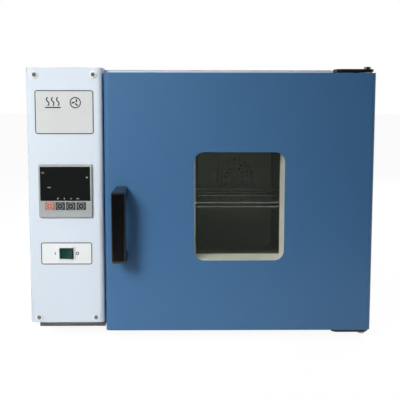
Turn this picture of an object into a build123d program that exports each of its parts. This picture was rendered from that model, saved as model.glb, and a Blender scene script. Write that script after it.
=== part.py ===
from build123d import *
import math
import os

# Bench drying oven: a pale control panel on the left, a blue door with a double-glazed
# window on the right, and a fan-circulated steel chamber behind the door.
# Millimetres. +X to the right, +Y to the back, +Z up. The origin is at the bottom centre
# of the whole object, with the handle, the vent knob and the feet counted in.

# Chamber: clear width and height, and the depth of its steel liner
CHAMBER_W = 340.0
CHAMBER_H = 320.0
CHAMBER_D = 320.0

# What stands round the chamber; with it, the chamber sets the size of the whole oven
CHAMBER_SIDE = 73.75
CHAMBER_RISE = 75.25
REAR_SPACE = 100.0
CASE_OVER_DOOR = 5.5
PANEL_UNDER_DOOR = 7.5
DOOR_T = 48.0
DOOR_FRAME_GAP = 6.0
FOOT_H = 18.0
SHEET = 1.2
LINER_SHEET = 1.0
FIT = 0.2
SCREW_FIT = 0.05

# Handle and rear knob, which set how far the object reaches past the body
HANDLE_REACH = 58.0
VENT_REACH = 16.0

# Control panel
PANEL_W = 135.5
PANEL_RISE = 16.0
PANEL_EDGE_R = 9.0
PANEL_DOOR_GAP = 2.0

# Door
DOOR_EDGE_R = 8.0
DOOR_LIP = 14.0
LINER_INSET = 6.0
WINDOW_W = 164.0
WINDOW_H = 198.0
WINDOW_R = 18.0
WINDOW_DROP = 5.5
SIGHT_W = 157.0
SIGHT_H = 192.0
SIGHT_R = 2.5
GLASS_LAP = 13.0
OUTER_GLASS_T = 4.0
INNER_GLASS_T = 5.0
SPACER_WALL = 3.0

# Chamber walls
CHAMBER_R = 10.0
LINER_FLANGE = 15.0
BACK_WOOL = 42.0
WOOL_SETBACK = 12.0
PLUG_MARGIN = 9.0
PLUG_DEPTH = 12.0
PLUG_R = 14.0
PLUG_SLOPE = 3.0

# Door seal
SEAL_MARGIN = 7.0
SEAL_W = 10.0
SEAL_ROUND = 2.4
SEAL_GAP = 0.3

# Air duct on the back wall, fan and heater
DUCT_SIDE = 88.5
DUCT_H = 234.0
DUCT_D = 45.0
DUCT_R = 14.0
DUCT_OFFSET_X = 8.5
DUCT_FLOOR_GAP = 24.0
FAN_FROM_DUCT_TOP = 81.0
FAN_IN_HEATER = 12.0
FAN_BLADES = 10
FAN_DEPTH = 24.0
SHAFT_R = 4.0
HEATER_IN_DUCT = 15.5
HEATER_TUBE_R = 3.25
MOTOR_R = 38.0
MOTOR_LEN = 44.0

# Wire shelf
SHELF_H = 154.0
SHELF_D = 225.0
SHELF_FRONT = 15.0
SHELF_PITCH = 19.7
SHELF_BAR_R = 1.8
SHELF_WIRE_R = 1.3
SHELF_BAR_STEP = 7.8
SHELF_SIDE_GAP = 4.0
RAIL_LEG = 11.0
RAIL_T = 1.5

# Door hinge
PIVOT_FROM_EDGE = 12.5
PIVOT_DEPTH = 22.0
PIN_R = 4.0
PIN_FIT = 0.05
HINGE_T = 5.0
HINGE_GAP = 2.0
HINGE_LEFT = 56.5
HINGE_NOSE_R = 11.0
HINGE_LEG_W = 46.0
HINGE_LEG_H = 50.0
HINGE_LEG_T = 4.5
BUSH_R = 6.0
BUSH_LEN = 15.0
BUSH_FLANGE_R = 9.0
BUSH_FLANGE_T = 1.8

# Handle
HANDLE_W = 25.0
HANDLE_H = 126.0
HANDLE_GRIP_T = 19.0
HANDLE_ARM = 17.0
HANDLE_FLARE = 5.0
HANDLE_FROM_EDGE = 28.5
HANDLE_DROP = 36.0

# Controller
CTRL = 96.0
CTRL_RIM = 5.5
CTRL_BODY = 91.0
CTRL_DEPTH = 66.0
CTRL_WALL = 2.0
CTRL_CZ = 259.0
SCREEN_W = 90.0
SCREEN_H = 61.6
SCREEN_T = 1.6
SCREEN_TOP = 4.2
KEY_W = 16.4
KEY_H = 13.6
KEY_PITCH = 18.8
KEY_COUNT = 4
KEY_PROUD = 1.4
KEY_TRAVEL = 0.8
KEY_GAP = 0.25
KEY_FLANGE = 1.4
KEY_DROP = 27.2

# Label and switch
LABEL_W = 105.0
LABEL_H = 78.5
LABEL_CZ = 400.0
PLATE_T = 0.5
SWITCH_PLATE_W = 93.0
SWITCH_PLATE_H = 41.0
SWITCH_CZ = 144.3
SWITCH_W = 31.0
SWITCH_H = 26.5
SWITCH_RIM = 2.0
SWITCH_BODY_W = 27.4
SWITCH_BODY_H = 22.6
SWITCH_DEPTH = 24.0
ROCKER_W = 23.0
ROCKER_H = 19.6
ROCKER_TILT = 9.0
ROCKER_PIVOT = 5.0
STUB_R = 1.5

# Panel screws
SCREW_DX = 52.0
SCREW_TOP = 12.5
SCREW_BOTTOM = 9.5
CAP_R = 6.25
CAP_T = 2.4

# Base and feet
PLINTH_INSET = 15.0
SILL_SETBACK = 30.0
FOOT_R = 15.0
FOOT_FROM_SIDE = 62.5
FOOT_FRONT = 80.0
FOOT_BACK = 60.0

# Vent
VENT_R = 20.0
VENT_WALL = 1.0
VENT_FROM_SIDE = 60.0
VENT_FROM_TOP = 43.25
VENT_DISC_R = 32.0
VENT_LEAF = 60.0

# Sizes that follow from the chamber
DOOR_W = CHAMBER_W + 2 * CHAMBER_SIDE
DOOR_H = CHAMBER_H + 2 * CHAMBER_RISE
CASE_H = DOOR_H + CASE_OVER_DOOR
PANEL_H = DOOR_H - PANEL_UNDER_DOOR
CASE_DEPTH = CHAMBER_D + REAR_SPACE
WIDTH = PANEL_W + PANEL_DOOR_GAP + DOOR_W
DUCT_W = CHAMBER_W - 2 * DUCT_SIDE
HEATER_R = DUCT_W / 2 - HEATER_IN_DUCT
FAN_R = HEATER_R - FAN_IN_HEATER
FOOT_DX = WIDTH / 2 - FOOT_FROM_SIDE

# Depth planes
TOTAL_DEPTH = HANDLE_REACH + DOOR_T + DOOR_FRAME_GAP + CASE_DEPTH + VENT_REACH
DOOR_Y = HANDLE_REACH - TOTAL_DEPTH / 2
DOOR_BACK_Y = DOOR_Y + DOOR_T
FRAME_Y = DOOR_BACK_Y + DOOR_FRAME_GAP
REAR_Y = FRAME_Y + CASE_DEPTH
LINER_Y = FRAME_Y + SHEET
CHAMBER_BACK_Y = FRAME_Y + CHAMBER_D
WOOL_BACK_Y = CHAMBER_BACK_Y + LINER_SHEET
WALL_Y = WOOL_BACK_Y + BACK_WOOL
MOTOR_Y = WALL_Y + LINER_SHEET
DUCT_Y = CHAMBER_BACK_Y - DUCT_D

# Side planes
LEFT_X = -WIDTH / 2
RIGHT_X = WIDTH / 2
PANEL_X1 = LEFT_X + PANEL_W
PANEL_CX = (LEFT_X + PANEL_X1) / 2
DOOR_X0 = PANEL_X1 + PANEL_DOOR_GAP
DOOR_CX = (DOOR_X0 + RIGHT_X) / 2
CASE_X = WIDTH / 2 - 1.0
CASE_IN_X = CASE_X - SHEET
WALL_X = DOOR_X0
CHAMBER_X0 = DOOR_CX - CHAMBER_W / 2
CHAMBER_X1 = DOOR_CX + CHAMBER_W / 2
DUCT_CX = DOOR_CX + DUCT_OFFSET_X
PIVOT_X = RIGHT_X - PIVOT_FROM_EDGE
PIVOT_Y = DOOR_Y + PIVOT_DEPTH

# Height planes
BASE_Z = FOOT_H
DOOR_Z1 = BASE_Z + DOOR_H
DOOR_CZ = BASE_Z + DOOR_H / 2
PANEL_Z0 = BASE_Z + PANEL_RISE
PANEL_Z1 = PANEL_Z0 + PANEL_H
CASE_Z1 = BASE_Z + CASE_H
CASE_IN_Z1 = CASE_Z1 - SHEET
CHAMBER_Z0 = DOOR_CZ - CHAMBER_H / 2
CHAMBER_Z1 = DOOR_CZ + CHAMBER_H / 2
WINDOW_CZ = DOOR_CZ - WINDOW_DROP
DUCT_Z0 = CHAMBER_Z0 + DUCT_FLOOR_GAP
DUCT_Z1 = DUCT_Z0 + DUCT_H
DUCT_CZ = (DUCT_Z0 + DUCT_Z1) / 2
FAN_Z = DUCT_Z1 - FAN_FROM_DUCT_TOP
SHELF_Z = CHAMBER_Z0 + SHELF_H


# Shape helpers

def block(x0, x1, y0, y1, z0, z1):
    """A block between two planes on each axis."""
    centre = Pos((x0 + x1) / 2, (y0 + y1) / 2, (z0 + z1) / 2)
    return centre * Box(x1 - x0, y1 - y0, z1 - z0)


def facing(y, cx=0.0, cz=0.0):
    """A sketch plane seen from the front: sketch x is +X and sketch y is +Z."""
    return Plane(origin=(cx, y, cz), x_dir=(1, 0, 0), z_dir=(0, -1, 0))


def slab(shape, y0, y1, cx=0.0, cz=0.0):
    """A sketch seen from the front, extruded from depth y0 to depth y1."""
    return extrude(facing(y1, cx, cz) * shape, y1 - y0)


def plate(cx, cz, w, h, y0, y1, r=0.0):
    """An upright rectangle with rounded corners, between two depths."""
    outline = RectangleRounded(w, h, r) if r > 0 else Rectangle(w, h)
    return slab(outline, y0, y1, cx, cz)


def rod_y(cx, cz, r, y0, y1):
    return slab(Circle(r), y0, y1, cx, cz)


def rod_z(cx, cy, r, z0, z1):
    return Pos(cx, cy, (z0 + z1) / 2) * Cylinder(r, z1 - z0)


def rod_x(cy, cz, r, x0, x1):
    return Pos((x0 + x1) / 2, cy, cz) * Rot(0, 90, 0) * Cylinder(r, x1 - x0)


def plan(shape, z0, z1):
    """A sketch seen from above, extruded from height z0 to height z1."""
    return extrude(Plane.XY.offset(z0) * shape, z1 - z0)


def outline(points):
    return make_face(Polyline(*points, close=True))


def group(solids):
    return Compound(children=list(solids))


# Places that more than one piece uses

def panel_screw_places():
    heights = (PANEL_Z0 + SCREW_BOTTOM, PANEL_Z1 - SCREW_TOP)
    return [(PANEL_CX + side * SCREW_DX, z) for z in heights for side in (-1, 1)]


def key_places():
    first = PANEL_CX - KEY_PITCH * (KEY_COUNT - 1) / 2
    return [(first + i * KEY_PITCH, BASE_Z + CTRL_CZ - KEY_DROP) for i in range(KEY_COUNT)]


def foot_places():
    depths = (FRAME_Y + FOOT_FRONT, REAR_Y - FOOT_BACK)
    return [(side * FOOT_DX, y) for y in depths for side in (-1, 1)]


DUCT_SCREW_INSET = 9.0


def duct_screw_places():
    dx = DUCT_W / 2 - DUCT_SCREW_INSET
    dz = DUCT_H / 2 - DUCT_SCREW_INSET
    return [(DUCT_CX + i * dx, DUCT_CZ + k * dz) for i in (-1, 1) for k in (-1, 1)]


REAR_SCREW_INSET = 8.0


def rear_screw_places():
    x = CASE_IN_X - REAR_SCREW_INSET
    z0 = PANEL_Z0 + SHEET + REAR_SCREW_INSET
    z1 = CASE_IN_Z1 - REAR_SCREW_INSET
    return [(i * x, z) for i in (-1, 1) for z in (z0, (z0 + z1) / 2, z1)]


MOTOR_SCREW_R = 46.0


def motor_screw_places():
    turn = [math.radians(45 + 90 * i) for i in range(4)]
    spots = [(MOTOR_SCREW_R * math.cos(a), MOTOR_SCREW_R * math.sin(a)) for a in turn]
    return [(DUCT_CX + dx, FAN_Z + dz) for dx, dz in spots]


HINGE_SCREW_DX = 13.0
HINGE_SCREW_EDGE = 12.0


def hinge_leg_x():
    """Left and right ends of the hinge bracket's upright leg."""
    x0 = PIVOT_X - HINGE_LEFT
    return x0, x0 + HINGE_LEG_W


def hinge_screw_places():
    x0, x1 = hinge_leg_x()
    middle = (x0 + x1) / 2
    low = BASE_Z - HINGE_GAP - HINGE_T + HINGE_LEG_H - HINGE_SCREW_EDGE
    high = DOOR_Z1 + HINGE_GAP + HINGE_T - HINGE_LEG_H + HINGE_SCREW_EDGE
    return [(middle + i * HINGE_SCREW_DX, z) for z in (low, high) for i in (-1, 1)]


CATCH_W = 16.0
CATCH_H = 48.0
CATCH_DEPTH = 11.0
CATCH_PROUD = 4.2
CATCH_FROM_EDGE = 26.0
STRIKE_T = 1.5


def catch_place():
    return DOOR_X0 + CATCH_FROM_EDGE, DOOR_CZ - HANDLE_DROP


def handle_place():
    return DOOR_X0 + HANDLE_FROM_EDGE, DOOR_CZ - HANDLE_DROP


HANDLE_SCREW_R = 2.5


def handle_screw_places():
    x, z = handle_place()
    dz = (HANDLE_H - HANDLE_ARM) / 2
    return [(x, z - dz), (x, z + dz)]


# Cabinet shell

CASE_R = 6.0
CASE_RETURN = 18.0
REAR_FLANGE = 14.0


def case_outline(x, z1, r):
    """The cabinet's front view: square at the foot, with rounded top corners."""
    low = PANEL_Z0
    sketch = Pos(0, (low + z1) / 2) * Rectangle(2 * x, z1 - low)
    return fillet(sketch.vertices().group_by(Axis.Y)[-1], r)


def outer_case():
    body = slab(case_outline(CASE_X, CASE_Z1, CASE_R), FRAME_Y, REAR_Y)
    inner = slab(case_outline(CASE_IN_X, CASE_IN_Z1, CASE_R - SHEET), FRAME_Y, REAR_Y)
    body -= inner
    y0 = FRAME_Y + SHEET + FIT
    flange_y = REAR_Y - SHEET
    ring = slab(case_outline(CASE_IN_X, CASE_IN_Z1, CASE_R - SHEET), flange_y - SHEET, flange_y)
    hole_h = CASE_IN_Z1 - PANEL_Z0 - 2 * REAR_FLANGE
    hole_w = 2 * (CASE_IN_X - REAR_FLANGE)
    ring -= plate(0, (PANEL_Z0 + CASE_IN_Z1) / 2, hole_w, hole_h, flange_y - SHEET, flange_y)
    body += ring
    for side in (-1, 1):
        edge = side * CASE_IN_X
        inward = side * (CASE_IN_X - CASE_RETURN)
        body += block(min(edge, inward), max(edge, inward), y0, flange_y, PANEL_Z0, PANEL_Z0 + SHEET)
    for x, z in rear_screw_places():
        body -= rod_y(x, z, PAN_SHANK_R + SCREW_FIT, flange_y - SHEET, flange_y)
    return body


LOUVRE_W = 58.0
LOUVRE_H = 3.6
LOUVRE_PITCH = 12.0
LOUVRE_COUNT = 10
INLET_W = 27.0
INLET_H = 20.0
INLET_CZ = 62.0


def inlet_place():
    return PANEL_CX, BASE_Z + INLET_CZ


def vent_place():
    return CHAMBER_X0 + VENT_FROM_SIDE, CHAMBER_Z1 - VENT_FROM_TOP


def rear_panel():
    y0 = REAR_Y - SHEET
    body = slab(case_outline(CASE_IN_X - FIT, CASE_IN_Z1 - FIT, CASE_R - SHEET - FIT), y0, REAR_Y)
    for i in range(LOUVRE_COUNT):
        z = FAN_Z + (i - (LOUVRE_COUNT - 1) / 2) * LOUVRE_PITCH
        for x in (DUCT_CX, PANEL_CX):
            body -= plate(x, z, LOUVRE_W, LOUVRE_H, y0, REAR_Y, LOUVRE_H / 2 - 0.1)
    x, z = vent_place()
    body -= rod_y(x, z, VENT_R + VENT_WALL + FIT, y0, REAR_Y)
    x, z = inlet_place()
    body -= plate(x, z, INLET_W + 2 * FIT, INLET_H + 2 * FIT, y0, REAR_Y, 2)
    for x, z in rear_screw_places():
        body -= rod_y(x, z, PAN_SHANK_R + SCREW_FIT, y0, REAR_Y)
    return body


def base_tray():
    """A shallow pan, set in from the sides, whose top rim carries the cabinet."""
    x = WIDTH / 2 - PLINTH_INSET
    y1 = REAR_Y - PLINTH_INSET
    body = block(-x, x, FRAME_Y, y1, BASE_Z, PANEL_Z0)
    body -= block(-x + SHEET, x - SHEET, FRAME_Y + SHEET, y1 - SHEET, BASE_Z + SHEET, PANEL_Z0)
    rim_y0 = FRAME_Y + SHEET + FIT
    rim_z0 = PANEL_Z0 - SHEET
    rim = block(-CASE_IN_X, CASE_IN_X, rim_y0, REAR_Y - SHEET - FIT, rim_z0, PANEL_Z0)
    rim -= block(-x + SHEET, x - SHEET, FRAME_Y, y1 - SHEET, rim_z0, PANEL_Z0)
    body += rim
    for x, y in foot_places():
        body -= rod_z(x, y, PAN_SHANK_R + SCREW_FIT, BASE_Z, BASE_Z + SHEET)
    return body


def panel_sill():
    """The folded strip that closes the foot of the cabinet under the control panel."""
    x0 = LEFT_X + PLINTH_INSET - 3.5
    x1 = PANEL_X1 - PANEL_DOOR_GAP
    y0 = DOOR_Y + SILL_SETBACK
    z0 = BASE_Z + 0.5
    z1 = PANEL_Z0 - FIT
    body = block(x0, x1, y0, FRAME_Y, z0, z1)
    return body - block(x0 + SHEET, x1 - SHEET, y0 + SHEET, FRAME_Y, z0 + SHEET, z1 - SHEET)


SERVICE_W = 112.0
SERVICE_Z0 = 100.0
SERVICE_Z1 = 400.0


def front_frame():
    y1 = FRAME_Y + SHEET
    body = slab(case_outline(CASE_IN_X - FIT, CASE_IN_Z1 - FIT, CASE_R - SHEET - FIT), FRAME_Y, y1)
    body -= plate(DOOR_CX, DOOR_CZ, CHAMBER_W, CHAMBER_H, FRAME_Y, y1, CHAMBER_R)
    body -= block(PANEL_CX - SERVICE_W / 2, PANEL_CX + SERVICE_W / 2, FRAME_Y, y1,
                  BASE_Z + SERVICE_Z0, BASE_Z + SERVICE_Z1)
    x, z = catch_place()
    body -= plate(x, z, CATCH_W + 2 * FIT, CATCH_H + 2 * FIT, FRAME_Y, y1)
    for x, z in hinge_screw_places():
        body -= rod_y(x, z, FLAT_SHANK_R + SCREW_FIT, FRAME_Y, y1)
    return body


# Chamber

PROBE_R = 2.5
PROBE_Y = 60.0
PROBE_DROP = 46.0
PROBE_IN = 42.0
GLAND_R = 7.0
GLAND_T = 6.0
PROBE_TAIL = 18.0


def probe_axis():
    """Depth and height of the temperature probe, which enters through the left wall."""
    return CHAMBER_BACK_Y - PROBE_Y, CHAMBER_Z1 - PROBE_DROP


def chamber_wrap():
    """Floor, ceiling and side walls of the chamber in one folded sleeve with a front flange."""
    t = LINER_SHEET
    body = plate(DOOR_CX, DOOR_CZ, CHAMBER_W + 2 * t, CHAMBER_H + 2 * t, LINER_Y, CHAMBER_BACK_Y,
                 CHAMBER_R + t)
    body += plate(DOOR_CX, DOOR_CZ, CHAMBER_W + 2 * LINER_FLANGE, CHAMBER_H + 2 * LINER_FLANGE,
                  LINER_Y, LINER_Y + t, CHAMBER_R)
    body -= plate(DOOR_CX, DOOR_CZ, CHAMBER_W, CHAMBER_H, LINER_Y, CHAMBER_BACK_Y, CHAMBER_R)
    y, z = probe_axis()
    return body - rod_x(y, z, PROBE_R + SCREW_FIT, CHAMBER_X0 - 2 * t, CHAMBER_X0 + t)


HEATER_LEG_DX = 14.0


def heater_leg_places():
    """Where the two heater legs leave the ring and pass through the back wall."""
    dz = math.sqrt(HEATER_R ** 2 - HEATER_LEG_DX ** 2)
    return [(DUCT_CX + i * HEATER_LEG_DX, FAN_Z - dz) for i in (-1, 1)]


def back_wall_holes(y0, y1, shaft_r, gap, with_screws):
    """The holes that every layer of the back wall shares."""
    holes = [rod_y(DUCT_CX, FAN_Z, shaft_r, y0, y1)]
    holes += [rod_y(x, z, HEATER_TUBE_R + gap, y0, y1) for x, z in heater_leg_places()]
    x, z = vent_place()
    holes.append(rod_y(x, z, VENT_R + VENT_WALL + FIT, y0, y1))
    if with_screws:
        holes += [rod_y(x, z, PAN_SHANK_R + SCREW_FIT, y0, y1) for x, z in duct_screw_places()]
    return holes


def chamber_back():
    t = LINER_SHEET
    body = plate(DOOR_CX, DOOR_CZ, CHAMBER_W + 2 * t, CHAMBER_H + 2 * t,
                 CHAMBER_BACK_Y, WOOL_BACK_Y, CHAMBER_R + t)
    for hole in back_wall_holes(CHAMBER_BACK_Y, WOOL_BACK_Y, SHAFT_R + 2, SCREW_FIT, True):
        body -= hole
    return body


def insulation_jacket():
    """Four slabs of glass wool round the chamber sleeve."""
    y0 = FRAME_Y + WOOL_SETBACK
    y1 = CHAMBER_BACK_Y
    x0 = WALL_X + FIT
    x1 = CASE_IN_X - FIT
    z0 = PANEL_Z0 + SHEET + FIT
    z1 = CASE_IN_Z1 - FIT
    t = LINER_SHEET + FIT
    sleeve_x0 = CHAMBER_X0 - t
    sleeve_x1 = CHAMBER_X1 + t
    sleeve_z0 = CHAMBER_Z0 - t
    sleeve_z1 = CHAMBER_Z1 + t
    case = slab(case_outline(x1, z1, CASE_R - SHEET), y0, y1)
    floor = block(x0, x1, y0, y1, z0, sleeve_z0)
    roof = block(x0, x1, y0, y1, sleeve_z1, z1) & case
    left = block(x0, sleeve_x0, y0, y1, sleeve_z0 + FIT, sleeve_z1 - FIT)
    right = block(sleeve_x1, x1, y0, y1, sleeve_z0 + FIT, sleeve_z1 - FIT)
    y, z = probe_axis()
    left -= rod_x(y, z, PROBE_R + FIT, x0, sleeve_x0)
    return group([floor, roof, left, right])


def insulation_back():
    t = FIT
    z0 = PANEL_Z0 + SHEET + t
    body = block(WALL_X + t, CASE_IN_X - t, WOOL_BACK_Y + t, WALL_Y - t, z0, CASE_IN_Z1 - t)
    body &= slab(case_outline(CASE_IN_X - t, CASE_IN_Z1 - t, CASE_R - SHEET), WOOL_BACK_Y, WALL_Y)
    for hole in back_wall_holes(WOOL_BACK_Y, WALL_Y, SHAFT_R + 4, FIT, False):
        body -= hole
    for x, z in duct_screw_places():
        body -= rod_y(x, z, PAN_SHANK_R + FIT, WOOL_BACK_Y, WALL_Y)
    return body


def compartment_wall():
    """The folded wall that keeps the glass wool out of the motor and electrical spaces."""
    t = LINER_SHEET
    z0 = PANEL_Z0 + SHEET
    z1 = CASE_IN_Z1 - FIT
    side = block(WALL_X - t, WALL_X, FRAME_Y + SHEET, MOTOR_Y, z0, z1)
    back = block(WALL_X - t, CASE_IN_X - FIT, WALL_Y, MOTOR_Y, z0, z1)
    back &= slab(case_outline(CASE_IN_X - FIT, z1, CASE_R - SHEET), WALL_Y, MOTOR_Y)
    body = side + back
    for hole in back_wall_holes(WALL_Y, MOTOR_Y, SHAFT_R + 4, SCREW_FIT, False):
        body -= hole
    for x, z in motor_screw_places():
        body -= rod_y(x, z, PAN_SHANK_R + SCREW_FIT, WALL_Y, MOTOR_Y)
    y, z = probe_axis()
    body -= rod_x(y, z, PROBE_R + SCREW_FIT, WALL_X - t, WALL_X)
    return body


GRILLE_RINGS = 5
GRILLE_STEP = 9.5
GRILLE_HOLE_R = 3.0
OUTLET_W = 26.0
OUTLET_H = 7.0
OUTLET_PITCH = 20.0
OUTLET_COUNT = 9


def duct_cover():
    """The pan over the fan: an intake grille in front, outlet slots in its sides."""
    t = LINER_SHEET
    body = plate(DUCT_CX, DUCT_CZ, DUCT_W, DUCT_H, DUCT_Y, CHAMBER_BACK_Y, DUCT_R)
    body = fillet(body.faces().sort_by(Axis.Y)[0].edges(), 2.5)
    body -= plate(DUCT_CX, DUCT_CZ, DUCT_W - 2 * t, DUCT_H - 2 * t, DUCT_Y + t, CHAMBER_BACK_Y, DUCT_R - t)
    holes = [Pos(0, 0) * Circle(GRILLE_HOLE_R)]
    for ring in range(1, GRILLE_RINGS):
        holes += PolarLocations(ring * GRILLE_STEP, 6 * ring) * Circle(GRILLE_HOLE_R)
    body -= slab(Sketch() + holes, DUCT_Y, DUCT_Y + 2 * t, DUCT_CX, FAN_Z)
    slot_y = CHAMBER_BACK_Y - DUCT_D / 2
    for i in range(OUTLET_COUNT):
        z = DUCT_CZ + (i - (OUTLET_COUNT - 1) / 2) * OUTLET_PITCH
        body -= block(DUCT_CX - DUCT_W, DUCT_CX + DUCT_W, slot_y - OUTLET_W / 2, slot_y + OUTLET_W / 2,
                      z - OUTLET_H / 2, z + OUTLET_H / 2)
    for x, z in duct_screw_places():
        body -= rod_y(x, z, PAN_SHANK_R + SCREW_FIT, DUCT_Y, DUCT_Y + t)
    return body


def heater():
    """A round tubular heating element round the fan, on two legs that leave through the back."""
    y = CHAMBER_BACK_Y - DUCT_D / 2 + 2
    half_gap = math.degrees(math.asin(HEATER_LEG_DX / HEATER_R))
    start = 270 + half_gap
    path = facing(y, DUCT_CX, FAN_Z) * CenterArc((0, 0), HEATER_R, start, 360 - 2 * half_gap)
    body = sweep(Plane(origin=path @ 0, z_dir=path % 0) * Circle(HEATER_TUBE_R), path)
    for x, z in heater_leg_places():
        body += Pos(x, y, z) * Sphere(HEATER_TUBE_R)
        body += rod_y(x, z, HEATER_TUBE_R, y, MOTOR_Y + 12)
    return body


def temp_probe():
    """A sheathed sensor with a gland nut on the cold side."""
    y, z = probe_axis()
    body = rod_x(y, z, PROBE_R, WALL_X - PROBE_TAIL, CHAMBER_X0 + PROBE_IN)
    nut = extrude(RegularPolygon(GLAND_R, 6), GLAND_T)
    return body + Pos(WALL_X - LINER_SHEET - GLAND_T, y, z) * Rot(0, 90, 0) * nut


# Shelf and its supports

UPRIGHT_W = 16.0
UPRIGHT_T = 1.2
UPRIGHT_FROM_FRONT = 48.0
UPRIGHT_FROM_DUCT = 40.0
UPRIGHT_MARGIN = 18.0
SLOT_PITCH = 35.0
SLOT_H = 14.0
SLOT_W = 5.0


def upright_depths():
    return FRAME_Y + UPRIGHT_FROM_FRONT, DUCT_Y - UPRIGHT_FROM_DUCT


def shelf_uprights():
    """Slotted strips on both side walls that set the shelf's height."""
    z0 = CHAMBER_Z0 + UPRIGHT_MARGIN
    z1 = CHAMBER_Z1 - UPRIGHT_MARGIN
    strips = []
    for side, wall in ((1, CHAMBER_X0), (-1, CHAMBER_X1)):
        for y in upright_depths():
            xa = wall + side * FIT / 2
            xb = xa + side * UPRIGHT_T
            strip = block(min(xa, xb), max(xa, xb), y - UPRIGHT_W / 2, y + UPRIGHT_W / 2, z0, z1)
            count = int((SHELF_Z - z0) // SLOT_PITCH)
            first = SHELF_Z - count * SLOT_PITCH
            z = first
            while z + SLOT_H < z1:
                strip -= block(min(xa, xb), max(xa, xb), y - SLOT_W / 2, y + SLOT_W / 2,
                               z - RAIL_LEG, z - RAIL_LEG + SLOT_H)
                z += SLOT_PITCH
            strips.append(strip)
    return group(strips)


def rail_top():
    """Height of the rails' upper face, just under the shelf's side wires."""
    return SHELF_Z - SHELF_BAR_R - FIT


def shelf_rails():
    """Two angle rails hooked on the uprights; the shelf slides on them."""
    y0, y1 = upright_depths()
    z1 = rail_top()
    rails = []
    for side, wall in ((1, CHAMBER_X0), (-1, CHAMBER_X1)):
        face = wall + side * (FIT / 2 + UPRIGHT_T + FIT)
        tip = face + side * RAIL_LEG
        web = face + side * RAIL_T
        rail = block(min(face, tip), max(face, tip), y0 - 12, y1 + 12, z1 - RAIL_T, z1)
        rail += block(min(face, web), max(face, web), y0 - 12, y1 + 12, z1 - RAIL_LEG, z1)
        rails.append(rail)
    return group(rails)


def wire_shelf():
    """Wires that run front to back, welded on cross bars, with a double bar at each end."""
    y0 = FRAME_Y + SHELF_FRONT
    y1 = y0 + SHELF_D
    half = CHAMBER_W / 2 - SHELF_SIDE_GAP - SHELF_BAR_R
    x0 = DOOR_CX - half
    x1 = DOOR_CX + half
    inner_x = half - RAIL_LEG - 4
    low_z = SHELF_Z - SHELF_BAR_STEP
    body = rod_x(y0, SHELF_Z, SHELF_BAR_R, x0, x1)
    for y in (y1, y0 + SHELF_D * 0.5):
        body += rod_x(y, SHELF_Z, SHELF_BAR_R, x0, x1)
    for y in (y0, y1):
        body += rod_x(y, low_z, SHELF_BAR_R, DOOR_CX - inner_x, DOOR_CX + inner_x)
        for side in (-1, 1):
            x = DOOR_CX + side * inner_x
            body += rod_z(x, y, SHELF_BAR_R, low_z, SHELF_Z)
            body += Pos(x, y, low_z) * Sphere(SHELF_BAR_R)
    for x in (x0, x1):
        body += rod_y(x, SHELF_Z, SHELF_BAR_R, y0, y1)
        for y in (y0, y1):
            body += Pos(x, y, SHELF_Z) * Sphere(SHELF_BAR_R)
    count = int(2 * half // SHELF_PITCH)
    for i in range(count):
        x = DOOR_CX + (i - (count - 1) / 2) * SHELF_PITCH
        body += rod_y(x, SHELF_Z + SHELF_BAR_R, SHELF_WIRE_R, y0 - SHELF_BAR_R, y1 + SHELF_BAR_R)
    return body


# Fan, motor and vent

HUB_R = 12.0
FAN_BACK_GAP = 7.0
BLADE_T = 1.2


def fan_rotor():
    """A radial impeller with curved blades on a back disc, and its shaft."""
    disc_y1 = CHAMBER_BACK_Y - FAN_BACK_GAP
    disc_y0 = disc_y1 - BLADE_T
    blade_y0 = disc_y0 - FAN_DEPTH
    body = rod_y(DUCT_CX, FAN_Z, FAN_R, disc_y0, disc_y1)
    body += rod_y(DUCT_CX, FAN_Z, HUB_R, blade_y0 + 6, disc_y1)
    mid = [(HUB_R - 1, 0), (FAN_R * 0.62, 9), (FAN_R - 1, 2)]
    top = ThreePointArc(*[(x, y + BLADE_T / 2) for x, y in mid])
    low = ThreePointArc(*[(x, y - BLADE_T / 2) for x, y in mid])
    ends = [Line(low @ 0, top @ 0), Line(low @ 1, top @ 1)]
    blade = make_face([top, low] + ends)
    for i in range(FAN_BLADES):
        body += slab(Rot(0, 0, 360 / FAN_BLADES * i) * blade, blade_y0, disc_y0 + 0.4, DUCT_CX, FAN_Z)
    body += rod_y(DUCT_CX, FAN_Z, SHAFT_R, disc_y0, MOTOR_Y + MOTOR_LEN * 0.7)
    return body


MOUNT_T = 2.0


def motor_bracket():
    body = plate(DUCT_CX, FAN_Z, 2 * MOTOR_R + 8, 2 * MOTOR_R + 8, MOTOR_Y, MOTOR_Y + MOUNT_T, 8)
    body -= rod_y(DUCT_CX, FAN_Z, SHAFT_R + 6, MOTOR_Y, MOTOR_Y + MOUNT_T)
    for x, z in motor_screw_places():
        body -= rod_y(x, z, PAN_SHANK_R + SCREW_FIT, MOTOR_Y, MOTOR_Y + MOUNT_T)
    return body


def fan_motor():
    y0 = MOTOR_Y + MOUNT_T
    y1 = y0 + MOTOR_LEN
    body = rod_y(DUCT_CX, FAN_Z, MOTOR_R, y0, y1)
    body = fillet(body.edges().filter_by(GeomType.CIRCLE), 5)
    fins = 16
    for i in range(fins):
        angle = math.radians(360 / fins * i)
        x = DUCT_CX + MOTOR_R * math.cos(angle)
        z = FAN_Z + MOTOR_R * math.sin(angle)
        body -= rod_y(x, z, 2.0, y0 + 8, y1 - 8)
    return body - rod_y(DUCT_CX, FAN_Z, SHAFT_R + PIN_FIT, y0, y0 + MOTOR_LEN * 0.75)


def vent_tube():
    x, z = vent_place()
    body = rod_y(x, z, VENT_R + VENT_WALL, CHAMBER_BACK_Y - 2, REAR_Y)
    return body - rod_y(x, z, VENT_R, CHAMBER_BACK_Y - 2, REAR_Y)


VENT_PLATE_T = 1.5
VENT_PIN_R = 2.5
VENT_LEAVES = 3


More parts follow.
